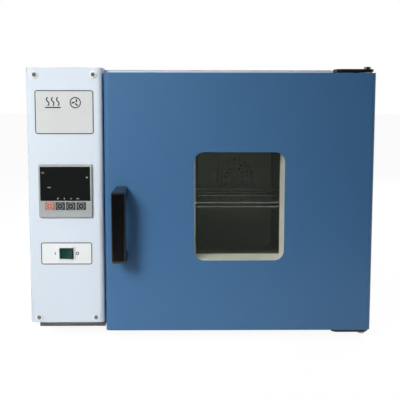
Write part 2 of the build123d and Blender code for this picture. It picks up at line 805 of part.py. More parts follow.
def vent_openings(y0, y1):
    """Three wedge openings, equal to the webs between them."""
    inner = 6.5
    outer = VENT_R - 1.5
    x, z = vent_place()
    start = math.radians(-VENT_LEAF / 2 + 1.5)
    end = math.radians(VENT_LEAF / 2 - 1.5)

    def point(radius, angle):
        return radius * math.cos(angle), radius * math.sin(angle)

    edges = [
        ThreePointArc(point(outer, start), point(outer, 0), point(outer, end)),
        ThreePointArc(point(inner, start), point(inner, 0), point(inner, end)),
        Line(point(inner, start), point(outer, start)),
        Line(point(inner, end), point(outer, end)),
    ]
    wedge = make_face(edges)
    turns = [Rot(0, 0, 90 + 360 / VENT_LEAVES * i) * wedge for i in range(VENT_LEAVES)]
    return [slab(leaf, y0, y1, x, z) for leaf in turns]


def vent_plate():
    x, z = vent_place()
    y1 = REAR_Y + VENT_PLATE_T
    body = rod_y(x, z, VENT_DISC_R, REAR_Y, y1)
    for leaf in vent_openings(REAR_Y, y1):
        body -= leaf
    body += rod_y(x, z, VENT_PIN_R, REAR_Y, y1 + 5)
    return body


def vent_damper():
    """The turning disc over the vent, with a grip bar across its boss."""
    x, z = vent_place()
    y0 = REAR_Y + VENT_PLATE_T + 0.3
    y1 = y0 + 2.0
    body = rod_y(x, z, VENT_DISC_R - 4, y0, y1)
    body = fillet(body.edges().filter_by(GeomType.CIRCLE).sort_by(Axis.Y)[-1], 0.8)
    for leaf in vent_openings(y0, y1):
        body -= leaf
    grip = plate(x, z, 5.0, 2 * VENT_R - 4, y1 - 0.2, REAR_Y + VENT_REACH, 2.4)
    grip = fillet(grip.faces().sort_by(Axis.Y)[-1].edges(), 1.2)
    body += grip
    body += rod_y(x, z, 6.4, y0, y1 + 5)
    return body - rod_y(x, z, VENT_PIN_R + PIN_FIT, y0, REAR_Y + VENT_PLATE_T + 5.4)


# Control panel

def control_panel():
    """A folded cover with round upright edges, open at the back."""
    t = SHEET
    w = PANEL_X1 - LEFT_X
    depth = FRAME_Y - DOOR_Y
    profile = Pos(PANEL_CX, (DOOR_Y + FRAME_Y) / 2) * Rectangle(w, depth)
    profile = fillet(profile.vertices().group_by(Axis.Y)[0], PANEL_EDGE_R)
    hollow = Pos(PANEL_CX, (DOOR_Y + t + FRAME_Y) / 2) * Rectangle(w - 2 * t, depth - t)
    hollow = fillet(hollow.vertices().group_by(Axis.Y)[0], PANEL_EDGE_R - t)
    body = plan(profile, PANEL_Z0, PANEL_Z1) - plan(hollow, PANEL_Z0 + t, PANEL_Z1 - t)
    front = body.faces().sort_by(Axis.Z)
    body = fillet(front[-1].outer_wire().edges().filter_by(lambda e: e.center().Y < FRAME_Y - 1), 0.8)
    y1 = DOOR_Y + t
    body -= plate(PANEL_CX, BASE_Z + CTRL_CZ, CTRL_BODY + 1, CTRL_BODY + 1, DOOR_Y, y1)
    body -= plate(PANEL_CX, BASE_Z + SWITCH_CZ, SWITCH_BODY_W + 0.5, SWITCH_BODY_H + 0.5, DOOR_Y, y1)
    for x, z in panel_screw_places():
        body -= rod_y(x, z, PAN_SHANK_R + SCREW_FIT, DOOR_Y, y1)
    return body


BRACKET_T = 1.5
BRACKET_W = 16.0
BRACKET_FOOT = 10.0


def panel_brackets():
    """Two hat-shaped straps that hold the panel's front off the cabinet's front frame."""
    x = SCREW_DX + 6
    y0 = DOOR_Y + SHEET
    t = BRACKET_T
    points = [
        (-x, y0), (x, y0), (x, FRAME_Y - t), (x + BRACKET_FOOT - 4, FRAME_Y - t),
        (x + BRACKET_FOOT - 4, FRAME_Y), (x - t, FRAME_Y), (x - t, y0 + t),
        (-x + t, y0 + t), (-x + t, FRAME_Y), (-x - BRACKET_FOOT + 4, FRAME_Y),
        (-x - BRACKET_FOOT + 4, FRAME_Y - t), (-x, FRAME_Y - t),
    ]
    straps = []
    for z in sorted({place[1] for place in panel_screw_places()}):
        strap = plan(Pos(PANEL_CX, 0) * outline(points), z - BRACKET_W / 2, z + BRACKET_W / 2)
        for sx, sz in panel_screw_places():
            if sz == z:
                strap -= rod_y(sx, sz, PAN_SHANK_R + SCREW_FIT, y0, y0 + t)
        straps.append(strap)
    return group(straps)


PAN_SHANK_R = 2.4
PAN_HEAD_R = 4.4
PAN_HEAD_T = 2.8
FLAT_SHANK_R = 2.4
FLAT_HEAD_R = 4.8
FLAT_HEAD_T = 2.4


def pan_screw(length):
    """A pan-head screw along +Y, with its head's seat at the origin and a cross recess."""
    head = Rot(90, 0, 0) * Cylinder(PAN_HEAD_R, PAN_HEAD_T, align=(Align.CENTER, Align.CENTER, Align.MIN))
    head = fillet(head.edges().filter_by(GeomType.CIRCLE).sort_by(Axis.Y)[0], 1.6)
    shank = Rot(-90, 0, 0) * Cylinder(PAN_SHANK_R, length, align=(Align.CENTER, Align.CENTER, Align.MIN))
    cross = Pos(0, -PAN_HEAD_T, 0) * (Box(5, 2.4, 1) + Box(1, 2.4, 5))
    return head + shank - cross


def panel_screws():
    """Dark socket screws in the panel's corners, their heads sunk in the white cups."""
    y = DOOR_Y - 0.8
    screws = []
    for x, z in panel_screw_places():
        head = rod_y(x, z, 3.6, y - 2.2, y)
        socket = slab(RegularPolygon(1.9, 6), y - 2.2, y - 0.8, x, z)
        screws.append(head - socket + rod_y(x, z, PAN_SHANK_R, y, DOOR_Y + SHEET + BRACKET_T + 4))
    return group(screws)


def screw_caps():
    """White cup washers under the panel screws."""
    cups = []
    for x, z in panel_screw_places():
        cup = rod_y(x, z, CAP_R, DOOR_Y - CAP_T, DOOR_Y)
        cup = fillet(cup.edges().filter_by(GeomType.CIRCLE).sort_by(Axis.Y)[0], 1.0)
        cup -= rod_y(x, z, 3.6 + SCREW_FIT, DOOR_Y - CAP_T, DOOR_Y - 0.8)
        cups.append(cup - rod_y(x, z, PAN_SHANK_R + SCREW_FIT, DOOR_Y - CAP_T, DOOR_Y))
    return group(cups)


def label_plate():
    return plate(PANEL_CX, BASE_Z + LABEL_CZ, LABEL_W, LABEL_H, DOOR_Y - PLATE_T, DOOR_Y, 5)


def switch_plate():
    body = plate(PANEL_CX, BASE_Z + SWITCH_CZ, SWITCH_PLATE_W, SWITCH_PLATE_H, DOOR_Y - PLATE_T, DOOR_Y, 4)
    return body - plate(PANEL_CX, BASE_Z + SWITCH_CZ, SWITCH_BODY_W + 0.5, SWITCH_BODY_H + 0.5,
                        DOOR_Y - PLATE_T, DOOR_Y)


def screen_cz():
    return BASE_Z + CTRL_CZ + CTRL / 2 - SCREEN_TOP - SCREEN_H / 2


FACE_T = 3.0


def controller_case():
    """The controller's moulded bezel and the square body behind it."""
    cz = BASE_Z + CTRL_CZ
    y0 = DOOR_Y - CTRL_RIM
    bezel = plate(PANEL_CX, cz, CTRL, CTRL, y0, DOOR_Y, 2.5)
    bezel = fillet(bezel.faces().sort_by(Axis.Y)[0].edges(), 1.2)
    body = bezel + plate(PANEL_CX, cz, CTRL_BODY, CTRL_BODY, DOOR_Y, DOOR_Y + CTRL_DEPTH, 1)
    room = CTRL_BODY - 2 * CTRL_WALL
    body -= plate(PANEL_CX, cz, room, room, y0 + FACE_T, DOOR_Y + CTRL_DEPTH - CTRL_WALL, 1)
    body -= plate(PANEL_CX, screen_cz(), SCREEN_W, SCREEN_H, y0, y0 + SCREEN_T, 1)
    for x, z in key_places():
        body -= plate(x, z, KEY_W + 2 * KEY_GAP, KEY_H + 2 * KEY_GAP, y0, y0 + FACE_T, 1.2)
    for i in range(5):
        x = PANEL_CX + (i - 2) * 14
        body += block(x - 5, x + 5, DOOR_Y + CTRL_DEPTH, DOOR_Y + CTRL_DEPTH + 5, cz - 30, cz + 30)
    return body


def display_window():
    y0 = DOOR_Y - CTRL_RIM
    return plate(PANEL_CX, screen_cz(), SCREEN_W - FIT, SCREEN_H - FIT, y0 + 0.2, y0 + SCREEN_T - 0.05, 1)


def key(index):
    """One key cap with a hidden flange that keeps it in the bezel, and a stem behind."""
    x, z = key_places()[index]
    face_y = DOOR_Y - CTRL_RIM
    inner_y = face_y + FACE_T + 0.1
    cap = plate(x, z, KEY_W, KEY_H, face_y - KEY_PROUD, inner_y, 1)
    cap = fillet(cap.faces().sort_by(Axis.Y)[0].edges(), 0.7)
    cap += plate(x, z, KEY_W + 1.6, KEY_H + 2 * KEY_FLANGE, inner_y, inner_y + 1, 1)
    return cap + rod_y(x, z, 2.5, inner_y + 1, inner_y + 3)


PAD_T = 1.6


def key_pad():
    """The rubber mat behind the keys on its board, with one dome for each key."""
    y = DOOR_Y - CTRL_RIM + FACE_T + 0.1 + 3 + KEY_TRAVEL + 0.15
    x0 = PANEL_CX - CTRL_BODY / 2 + CTRL_WALL
    x1 = PANEL_CX + CTRL_BODY / 2 - CTRL_WALL
    z = key_places()[0][1]
    body = block(x0, x1, y + 1, y + 1 + PAD_T, z - KEY_H / 2 - 1, z + KEY_H / 2 + 1)
    for x, z in key_places():
        body += rod_y(x, z, 3.2, y, y + 1)
    return body


def switch_housing():
    """The rocker's rim and its open-fronted body, with pivot holes top and bottom."""
    cz = BASE_Z + SWITCH_CZ
    y0 = DOOR_Y - PLATE_T - SWITCH_RIM
    rim = plate(PANEL_CX, cz, SWITCH_W, SWITCH_H, y0, DOOR_Y - PLATE_T, 1.5)
    rim = fillet(rim.faces().sort_by(Axis.Y)[0].edges(), 0.8)
    back = DOOR_Y + SWITCH_DEPTH
    body = rim + plate(PANEL_CX, cz, SWITCH_BODY_W, SWITCH_BODY_H, DOOR_Y - PLATE_T, back, 0.5)
    well_w = ROCKER_W + 3.2
    well_h = ROCKER_H + 0.8
    body -= plate(PANEL_CX, cz, well_w, well_h, y0, DOOR_Y + 14, 0.6)
    reach = well_h / 2 + 0.9
    body -= rod_z(PANEL_CX, DOOR_Y + ROCKER_PIVOT, STUB_R + PIN_FIT, cz - reach, cz + reach)
    for dx in (-8, 0, 8):
        body += block(PANEL_CX + dx - 2.4, PANEL_CX + dx + 2.4, back, back + 7, cz - 0.4, cz + 0.4)
    return body


def rocker():
    """A rocker with a shallow V face, resting with its left end pressed in."""
    cz = BASE_Z + SWITCH_CZ
    half = ROCKER_W / 2
    front = ROCKER_PIVOT + PLATE_T + SWITCH_RIM
    points = [
        (-half, -front - 0.6), (-half * 0.45, -front + 0.6), (0, -front + 0.9), (half * 0.45, -front + 0.6),
        (half, -front - 0.6), (half - 0.4, -1.5), (2.6, 3.0), (-2.6, 3.0), (-half + 0.4, -1.5),
    ]
    body = plan(outline(points), cz - ROCKER_H / 2, cz + ROCKER_H / 2)
    body = fillet(body.edges().filter_by(Axis.Z).sort_by(Axis.Y)[:2], 0.6)
    body += rod_z(0, 0, STUB_R, cz - ROCKER_H / 2 - 1.1, cz + ROCKER_H / 2 + 1.1)
    return Pos(PANEL_CX, DOOR_Y + ROCKER_PIVOT, 0) * Rot(0, 0, -ROCKER_TILT) * body


# Electrical parts behind the panel

BLOCK_Y = 40.0
BLOCK_CZ = 120.0
RELAY_CZ = 300.0
POLES = 6
POLE_PITCH = 12.0


def terminal_block():
    """A barrier strip on the compartment wall."""
    x1 = WALL_X - LINER_SHEET
    z = BASE_Z + BLOCK_CZ
    length = POLES * POLE_PITCH + 8
    body = block(x1 - 14, x1, BLOCK_Y - length / 2, BLOCK_Y + length / 2, z - 15, z + 15)
    for i in range(POLES):
        y = BLOCK_Y + (i - (POLES - 1) / 2) * POLE_PITCH
        body -= block(x1 - 14, x1 - 8, y - 4.6, y + 4.6, z - 15, z + 15)
        for dz in (-8, 8):
            body += rod_x(y, z + dz, 3.0, x1 - 11, x1 - 8)
    return body


FIN_COUNT = 7
RELAY_REACH = 48.0


def relay():
    """A solid-state relay on a finned heat sink, fixed to the compartment wall."""
    x1 = WALL_X - LINER_SHEET
    z = BASE_Z + RELAY_CZ
    body = block(x1 - 26, x1 - 22, BLOCK_Y - 35, BLOCK_Y + 35, z - 40, z + 40)
    for i in range(FIN_COUNT):
        y = BLOCK_Y + (i - (FIN_COUNT - 1) / 2) * 11
        body += block(x1 - 22, x1, y - 1, y + 1, z - 40, z + 40)
    module = block(x1 - RELAY_REACH, x1 - 26, BLOCK_Y - 22, BLOCK_Y + 22, z - 29, z + 29)
    module = fillet(module.edges().filter_by(Axis.X), 2)
    return body + module


INLET_FLANGE_W = 48.0
INLET_FLANGE_H = 24.0


def mains_inlet():
    """A three-pin appliance inlet in the back panel. Its cord is separate."""
    x, z = inlet_place()
    body = plate(x, z, INLET_W, INLET_H, REAR_Y - 18, REAR_Y, 3)
    body += plate(x, z, INLET_FLANGE_W, INLET_FLANGE_H, REAR_Y, REAR_Y + 3, 6)
    body -= plate(x, z, INLET_W - 4, INLET_H - 4, REAR_Y - 14, REAR_Y + 3, 2)
    for dx, dz in ((-7, -2), (7, -2), (0, 2.5)):
        body += block(x + dx - 1, x + dx + 1, REAR_Y - 14.5, REAR_Y, z + dz - 2, z + dz + 2)
    return body


WIRE_R = 2.6


def cable(points):
    """A cable along straight runs joined by arcs that take nearly all of each corner."""
    legs = [math.dist(a, b) for a, b in zip(points, points[1:])]
    radii = []
    for i in range(1, len(points) - 1):
        before = Vector(*points[i]) - Vector(*points[i - 1])
        after = Vector(*points[i + 1]) - Vector(*points[i])
        half_turn = math.radians(before.get_angle(after)) / 2
        radii.append(0.45 * min(legs[i - 1], legs[i]) / math.tan(half_turn))
    path = FilletPolyline(*points, radius=radii)
    return sweep(Plane(origin=path @ 0, z_dir=path % 0) * Circle(WIRE_R), path)


def wiring():
    """Three internal cables: inlet to terminals, terminals to switch, terminals to controller."""
    ix, iz = inlet_place()
    face = WALL_X - LINER_SHEET - 14
    bz = BASE_Z + BLOCK_CZ
    y_in = REAR_Y - 18
    y_block = BLOCK_Y + POLES * POLE_PITCH / 2 + 4
    supply = [(ix, y_in, iz), (ix, y_in - 26, iz), (ix + 12, y_in - 52, iz + 12),
              (face + 5, y_in - 78, bz - 8), (face + 5, y_block, bz - 8)]
    y_front = BLOCK_Y - POLES * POLE_PITCH / 2 - 4
    sz = BASE_Z + SWITCH_CZ
    y_switch = DOOR_Y + SWITCH_DEPTH + 7
    switched = [(face + 5, y_front, bz), (face + 5, y_front - 40, bz), (face - 14, y_front - 80, bz + 14),
                (PANEL_CX + 8, y_switch + 44, sz), (PANEL_CX + 8, y_switch, sz)]
    cz = BASE_Z + CTRL_CZ
    y_ctrl = DOOR_Y + CTRL_DEPTH + 5
    control = [(face + 5, y_front, bz + 10), (face + 5, y_front - 30, bz + 10),
               (face - 10, y_front - 50, bz + 40),
               (PANEL_CX + 14, y_ctrl + 34, cz - 26), (PANEL_CX + 14, y_ctrl, cz - 26)]
    return group([cable(supply), cable(switched), cable(control)])


# Catch, hinge and feet

def magnet_catch():
    x, z = catch_place()
    body = plate(x, z, CATCH_W, CATCH_H, FRAME_Y - CATCH_PROUD, FRAME_Y + CATCH_DEPTH, 2)
    body += plate(x, z, CATCH_W + 8, CATCH_H + 8, FRAME_Y + SHEET, FRAME_Y + SHEET + 1.5, 2)
    for dx in (-4, 4):
        body -= plate(x + dx, z, 3, CATCH_H - 8, FRAME_Y - CATCH_PROUD, FRAME_Y - CATCH_PROUD + 0.6)
    return body


def hinge_bracket(top):
    """A plate that reaches over the door's edge, with a leg screwed to the front frame."""
    z_plate = DOOR_Z1 + HINGE_GAP if top else BASE_Z - HINGE_GAP - HINGE_T
    x0, leg_x1 = hinge_leg_x()
    nose = [(x0, FRAME_Y), (x0, PIVOT_Y - HINGE_NOSE_R + 6), (x0 + 7, PIVOT_Y - HINGE_NOSE_R),
            (PIVOT_X, PIVOT_Y - HINGE_NOSE_R), (PIVOT_X, PIVOT_Y + HINGE_NOSE_R),
            (PIVOT_X + HINGE_NOSE_R - 3, PIVOT_Y + HINGE_NOSE_R), (PIVOT_X + HINGE_NOSE_R - 3, FRAME_Y)]
    body = plan(outline(nose), z_plate, z_plate + HINGE_T)
    body += rod_z(PIVOT_X, PIVOT_Y, HINGE_NOSE_R, z_plate, z_plate + HINGE_T)
    if top:
        leg_z0, leg_z1 = z_plate + HINGE_T - HINGE_LEG_H, z_plate + HINGE_T
    else:
        leg_z0, leg_z1 = z_plate, z_plate + HINGE_LEG_H
    body += block(x0, leg_x1, FRAME_Y - HINGE_LEG_T, FRAME_Y, leg_z0, leg_z1)
    body -= rod_z(PIVOT_X, PIVOT_Y, PIN_R + PIN_FIT, z_plate, z_plate + HINGE_T)
    for x, z in hinge_screw_places():
        if leg_z0 < z < leg_z1:
            body -= flat_screw_hole(x, z)
    return body


def flat_cone(grow):
    """Countersunk head, widest at the front, as a half section turned about its axis."""
    points = [(0, 0), (FLAT_HEAD_R + grow, 0), (FLAT_SHANK_R + grow, FLAT_HEAD_T), (0, FLAT_HEAD_T)]
    return revolve(Plane.XY * outline(points), Axis.Y)


def flat_screw_hole(x, z):
    y = FRAME_Y - HINGE_LEG_T
    return Pos(x, y, z) * flat_cone(SCREW_FIT) + rod_y(x, z, FLAT_SHANK_R + SCREW_FIT, y, FRAME_Y)


def hinge_screws():
    screws = []
    y = FRAME_Y - HINGE_LEG_T
    for x, z in hinge_screw_places():
        screw = Pos(x, y, z) * flat_cone(0) + rod_y(x, z, FLAT_SHANK_R, y + 1, FRAME_Y + 9)
        slot = block(x - 3, x + 3, y, y + 0.9, z - 0.5, z + 0.5)
        screws.append(screw - slot)
    return group(screws)


def hinge_brackets():
    return group([hinge_bracket(False), hinge_bracket(True)])


PIN_HEAD_R = 6.5
PIN_HEAD_T = 4.0


def hinge_pins():
    """Hex-headed pivot bolts, through the plates and into the door's bushes."""
    reach = HINGE_T + HINGE_GAP + BUSH_LEN - 2
    pins = []
    for seat, sign in ((DOOR_Z1 + HINGE_GAP + HINGE_T, -1), (BASE_Z - HINGE_GAP - HINGE_T, 1)):
        tip = seat + sign * reach
        head = seat - sign * PIN_HEAD_T
        shank = rod_z(PIVOT_X, PIVOT_Y, PIN_R, min(seat, tip), max(seat, tip))
        hexagon = Pos(PIVOT_X, PIVOT_Y) * RegularPolygon(PIN_HEAD_R, 6)
        pins.append(shank + plan(hexagon, min(seat, head), max(seat, head)))
    return group(pins)


def feet():
    """Rubber feet: a taper with a recess for the screw."""
    pads = []
    for x, y in foot_places():
        pad = loft([Plane.XY.offset(BASE_Z) * Pos(x, y) * Circle(FOOT_R),
                    Plane.XY * Pos(x, y) * Circle(FOOT_R - 2.5)])
        pad -= rod_z(x, y, PAN_HEAD_R + 0.6, 0, BASE_Z - 5)
        pads.append(pad - rod_z(x, y, PAN_SHANK_R + SCREW_FIT, 0, BASE_Z))
    return group(pads)


def pan_head_screws():
    """The same screw wherever sheet is held: back panel, air duct, motor and feet."""
    screws = []
    for x, z in rear_screw_places():
        screws.append(Pos(x, REAR_Y, z) * Rot(0, 0, 180) * pan_screw(10))
    for x, z in duct_screw_places():
        screws.append(Pos(x, DUCT_Y, z) * pan_screw(DUCT_D + 4))
    for x, z in motor_screw_places():
        screws.append(Pos(x, MOTOR_Y + MOUNT_T, z) * Rot(0, 0, 180) * pan_screw(MOUNT_T + LINER_SHEET))
    for x, y in foot_places():
        screws.append(Pos(x, y, BASE_Z - 5) * Rot(90, 0, 0) * pan_screw(10))
    return group(screws)


# Door

def door_skin():
    """The painted outer pan: round upright edges, a window cut-out and a lip round the back."""
    t = SHEET
    back = DOOR_BACK_Y - LINER_SHEET
    depth = back - DOOR_Y
    profile = Pos(DOOR_CX, (DOOR_Y + back) / 2) * Rectangle(DOOR_W, depth)
    profile = fillet(profile.vertices().group_by(Axis.Y)[0], DOOR_EDGE_R)
    profile = fillet(profile.vertices().group_by(Axis.Y)[-1], DOOR_EDGE_R - 3)
    hollow = offset(profile, -t)
    body = plan(profile, BASE_Z, DOOR_Z1) - plan(hollow, BASE_Z + t, DOOR_Z1 - t)
    body = fillet(body.faces().sort_by(Axis.Z)[-1].outer_wire().edges(), 0.8)
    body = fillet(body.faces().sort_by(Axis.Z)[0].outer_wire().edges(), 0.8)
    body -= plate(DOOR_CX, DOOR_CZ, DOOR_W - 2 * DOOR_LIP, DOOR_H - 2 * DOOR_LIP, back - 2 * t, back, 6)
    body -= plate(DOOR_CX, WINDOW_CZ, WINDOW_W, WINDOW_H, DOOR_Y, DOOR_Y + t, WINDOW_R)
    body -= rod_z(PIVOT_X, PIVOT_Y, BUSH_R + SCREW_FIT, BASE_Z, DOOR_Z1)
    for x, z in handle_screw_places():
        body -= rod_y(x, z, HANDLE_SCREW_R + SCREW_FIT, DOOR_Y, DOOR_Y + t)
    return body


def plug_shape(extra, y0, y1):
    """The door's raised inner panel, which tapers as it enters the chamber."""
    w = CHAMBER_W - 2 * PLUG_MARGIN + extra
    h = CHAMBER_H - 2 * PLUG_MARGIN + extra
    wide = RectangleRounded(w, h, PLUG_R)
    narrow = RectangleRounded(w - 2 * PLUG_SLOPE, h - 2 * PLUG_SLOPE, PLUG_R - PLUG_SLOPE)
    return loft([facing(y0, DOOR_CX, DOOR_CZ) * wide, facing(y1, DOOR_CX, DOOR_CZ) * narrow])


def door_liner():
    """The steel inner sheet of the door, pressed into a shallow plug round the window."""
    t = LINER_SHEET
    y0 = DOOR_BACK_Y - t
    body = plate(DOOR_CX, DOOR_CZ, DOOR_W - 2 * LINER_INSET, DOOR_H - 2 * LINER_INSET, y0, DOOR_BACK_Y, 6)
    body += plug_shape(0, DOOR_BACK_Y - t / 2, DOOR_BACK_Y + PLUG_DEPTH)
    body -= plug_shape(-2 * t, y0, DOOR_BACK_Y + PLUG_DEPTH - t)
    body -= plate(DOOR_CX, WINDOW_CZ, SIGHT_W, SIGHT_H, y0, DOOR_BACK_Y + PLUG_DEPTH, SIGHT_R)
    return body


def glass_y():
    """Front and back depths of the two panes."""
    outer = DOOR_Y + SHEET + FIT
    inner = DOOR_BACK_Y + PLUG_DEPTH - LINER_SHEET - FIT - INNER_GLASS_T
    return (outer, outer + OUTER_GLASS_T), (inner, inner + INNER_GLASS_T)


def outer_glass():
    y0, y1 = glass_y()[0]
    return plate(DOOR_CX, WINDOW_CZ, WINDOW_W + 2 * GLASS_LAP, WINDOW_H + 2 * GLASS_LAP, y0, y1, 6)


def inner_glass():
    y0, y1 = glass_y()[1]
    return plate(DOOR_CX, WINDOW_CZ, SIGHT_W + 2 * GLASS_LAP, SIGHT_H + 2 * GLASS_LAP, y0, y1, 6)


def funnel(grow, y0, y1):
    wide = RectangleRounded(WINDOW_W + 1 + 2 * grow, WINDOW_H + 1 + 2 * grow, 4 + grow)
    narrow = RectangleRounded(SIGHT_W + 2 * grow, SIGHT_H + 2 * grow, SIGHT_R + grow)
    return loft([facing(y0, DOOR_CX, WINDOW_CZ) * wide, facing(y1, DOOR_CX, WINDOW_CZ) * narrow])


def window_spacer():
    """The pale tapered frame between the two panes."""
    y0 = glass_y()[0][1] + FIT
    y1 = glass_y()[1][0] - FIT
    return funnel(SPACER_WALL, y0, y1) - funnel(0, y0, y1)


def door_insulation():
    """Glass wool inside the door, cut round the window and clear of the hinge bushes."""
    t = SHEET + FIT
    y0 = glass_y()[0][1] + FIT
    y1 = DOOR_BACK_Y - LINER_SHEET - t
    x0 = DOOR_X0 + t
    x1 = RIGHT_X - t
    body = block(x0, x1, y0, y1, BASE_Z + t, DOOR_Z1 - t)
    inside = Pos(DOOR_CX, (DOOR_Y + DOOR_BACK_Y) / 2) * Rectangle(DOOR_W - 2 * t, DOOR_T - LINER_SHEET - 2 * t)
    body &= plan(fillet(inside.vertices(), DOOR_EDGE_R), BASE_Z, DOOR_Z1)
    hole_w = WINDOW_W + 2 * SPACER_WALL + 3
    hole_h = WINDOW_H + 2 * SPACER_WALL + 3
    body -= plate(DOOR_CX, WINDOW_CZ, hole_w, hole_h, y0, y1, 8)
    for z0, z1 in ((BASE_Z, BASE_Z + BUSH_LEN + 6), (DOOR_Z1 - BUSH_LEN - 6, DOOR_Z1)):
        body -= block(PIVOT_X - 14, RIGHT_X, y0, y1, z0, z1)
    for x, z in handle_screw_places():
        body -= rod_y(x, z, 6, y0, y0 + 4)
    return body


def door_gasket():
    """A silicone seal on the door, outside the chamber's mouth."""
    y0 = DOOR_BACK_Y
    y1 = FRAME_Y - SEAL_GAP
    inner_w = CHAMBER_W + 2 * SEAL_MARGIN
    inner_h = CHAMBER_H + 2 * SEAL_MARGIN
    ring = plate(DOOR_CX, DOOR_CZ, inner_w + 2 * SEAL_W, inner_h + 2 * SEAL_W, y0, y1, CHAMBER_R + SEAL_W)
    ring -= plate(DOOR_CX, DOOR_CZ, inner_w, inner_h, y0, y1, CHAMBER_R)
    return fillet(ring.faces().sort_by(Axis.Y)[-1].edges(), SEAL_ROUND)


def handle():
    """A black pull handle: an upright grip on two arms that flare towards the door."""
    x, z = handle_place()
    half = HANDLE_H / 2
    flare = half + HANDLE_FLARE
    reach = HANDLE_REACH
    grip_back = reach - HANDLE_GRIP_T
    side = [(0, -flare), (reach, -half), (reach, half), (0, flare),
            (0, flare - HANDLE_ARM), (grip_back, half - HANDLE_ARM), (grip_back, -half + HANDLE_ARM),
            (0, -flare + HANDLE_ARM)]
    profile = outline(side)
    for depth, radius in ((reach, 5), (grip_back, 9)):
        corners = [v for v in profile.vertices() if abs(v.X - depth) < 0.01]
        profile = fillet(corners, radius)
    edge_on = Plane(origin=(0, 0, 0), x_dir=(0, -1, 0), z_dir=(1, 0, 0))
    bridge = extrude(edge_on * profile, HANDLE_W, both=True)
    half_w = HANDLE_W / 2
    top_view = outline([(-half_w, -reach), (half_w, -reach), (half_w + 1, 0), (-half_w + 4, 0)])
    bridge &= plan(top_view, -flare, flare)
    bridge = fillet(bridge.faces().sort_by(Axis.Y)[0].edges(), 3)
    body = Pos(x, DOOR_Y, z) * bridge
    for sx, sz in handle_screw_places():
        body -= rod_y(sx, sz, HANDLE_SCREW_R + SCREW_FIT, DOOR_Y - 16, DOOR_Y)
    return body


def handle_screws():
    """Two screws from inside the door skin into the handle's arms."""
    screws = []
    for x, z in handle_screw_places():
        head = rod_y(x, z, 5, DOOR_Y + SHEET, DOOR_Y + SHEET + 3)
        screws.append(head + rod_y(x, z, HANDLE_SCREW_R, DOOR_Y - 15, DOOR_Y + SHEET))
    return group(screws)


def strike_plate():
    x, z = catch_place()
    return plate(x, z, CATCH_W + 4, CATCH_H, DOOR_BACK_Y, DOOR_BACK_Y + STRIKE_T, 2)


def hinge_bushes():
    """Flanged bushes in the door's top and bottom edges; the lower flange carries the door."""
    bushes = []
    for edge, sign in ((DOOR_Z1, -1), (BASE_Z, 1)):
        tip = edge + sign * BUSH_LEN
        lip = edge - sign * BUSH_FLANGE_T
        bush = rod_z(PIVOT_X, PIVOT_Y, BUSH_R, min(edge, tip), max(edge, tip))
        bush += rod_z(PIVOT_X, PIVOT_Y, BUSH_FLANGE_R, min(edge, lip), max(edge, lip))
        low, high = min(tip, lip), max(tip, lip)
        bushes.append(bush - rod_z(PIVOT_X, PIVOT_Y, PIN_R + PIN_FIT, low, high))
    return group(bushes)


# Every piece by name

PIECES = {
    "outer_case": outer_case,
    "rear_panel": rear_panel,
    "base_tray": base_tray,
    "panel_sill": panel_sill,
    "front_frame": front_frame,
    "chamber_wrap": chamber_wrap,
    "chamber_back": chamber_back,
    "insulation_jacket": insulation_jacket,
    "insulation_back": insulation_back,
    "compartment_wall": compartment_wall,
    "duct_cover": duct_cover,
    "heater": heater,
    "temp_probe": temp_probe,
    "shelf_uprights": shelf_uprights,
    "shelf_rails": shelf_rails,
    "wire_shelf": wire_shelf,
    "fan_rotor": fan_rotor,
    "motor_bracket": motor_bracket,
    "fan_motor": fan_motor,
    "vent_tube": vent_tube,
    "vent_plate": vent_plate,
    "vent_damper": vent_damper,
    "control_panel": control_panel,
    "panel_brackets": panel_brackets,
    "panel_screws": panel_screws,
    "screw_caps": screw_caps,
    "label_plate": label_plate,
    "switch_plate": switch_plate,
    "controller_case": controller_case,
    "display_window": display_window,
    "key_pad": key_pad,
    "switch_housing": switch_housing,
    "rocker": rocker,
    "terminal_block": terminal_block,
    "relay": relay,
    "mains_inlet": mains_inlet,
    "wiring": wiring,
    "magnet_catch": magnet_catch,
    "hinge_brackets": hinge_brackets,
    "hinge_screws": hinge_screws,
    "hinge_pins": hinge_pins,
    "feet": feet,
    "pan_head_screws": pan_head_screws,
    "door_skin": door_skin,
    "door_liner": door_liner,
    "door_insulation": door_insulation,
    "window_spacer": window_spacer,
    "outer_glass": outer_glass,
    "inner_glass": inner_glass,
    "door_gasket": door_gasket,
    "handle": handle,
    "handle_screws": handle_screws,
    "strike_plate": strike_plate,
    "hinge_bushes": hinge_bushes,
}

os.makedirs("parts", exist_ok=True)
for name, make in PIECES.items():
    export_step(make(), f"parts/{name}.step")
for index in range(KEY_COUNT):
    export_step(key(index), f"parts/key_{index + 1}.step")
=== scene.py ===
# %% [markdown]
# # A bench drying oven, dressed for its portrait
# The oven comes in as a finished engineering model: every sheet, screw, key and pin
# already has its true shape and place. What is missing is everything that an eye reads
# as real: paint with its faint orange peel, rolled steel, smoked acrylic, printed marks.
# We could rebuild each piece in Blender, but then the two models would drift apart.
# So the engineering pieces stay exactly where they are, get materials and finely
# rounded edges, and only the thin printed and moulded details are new meshes.

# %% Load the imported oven
import math

import bmesh
import bpy
from mathutils import Matrix, Vector


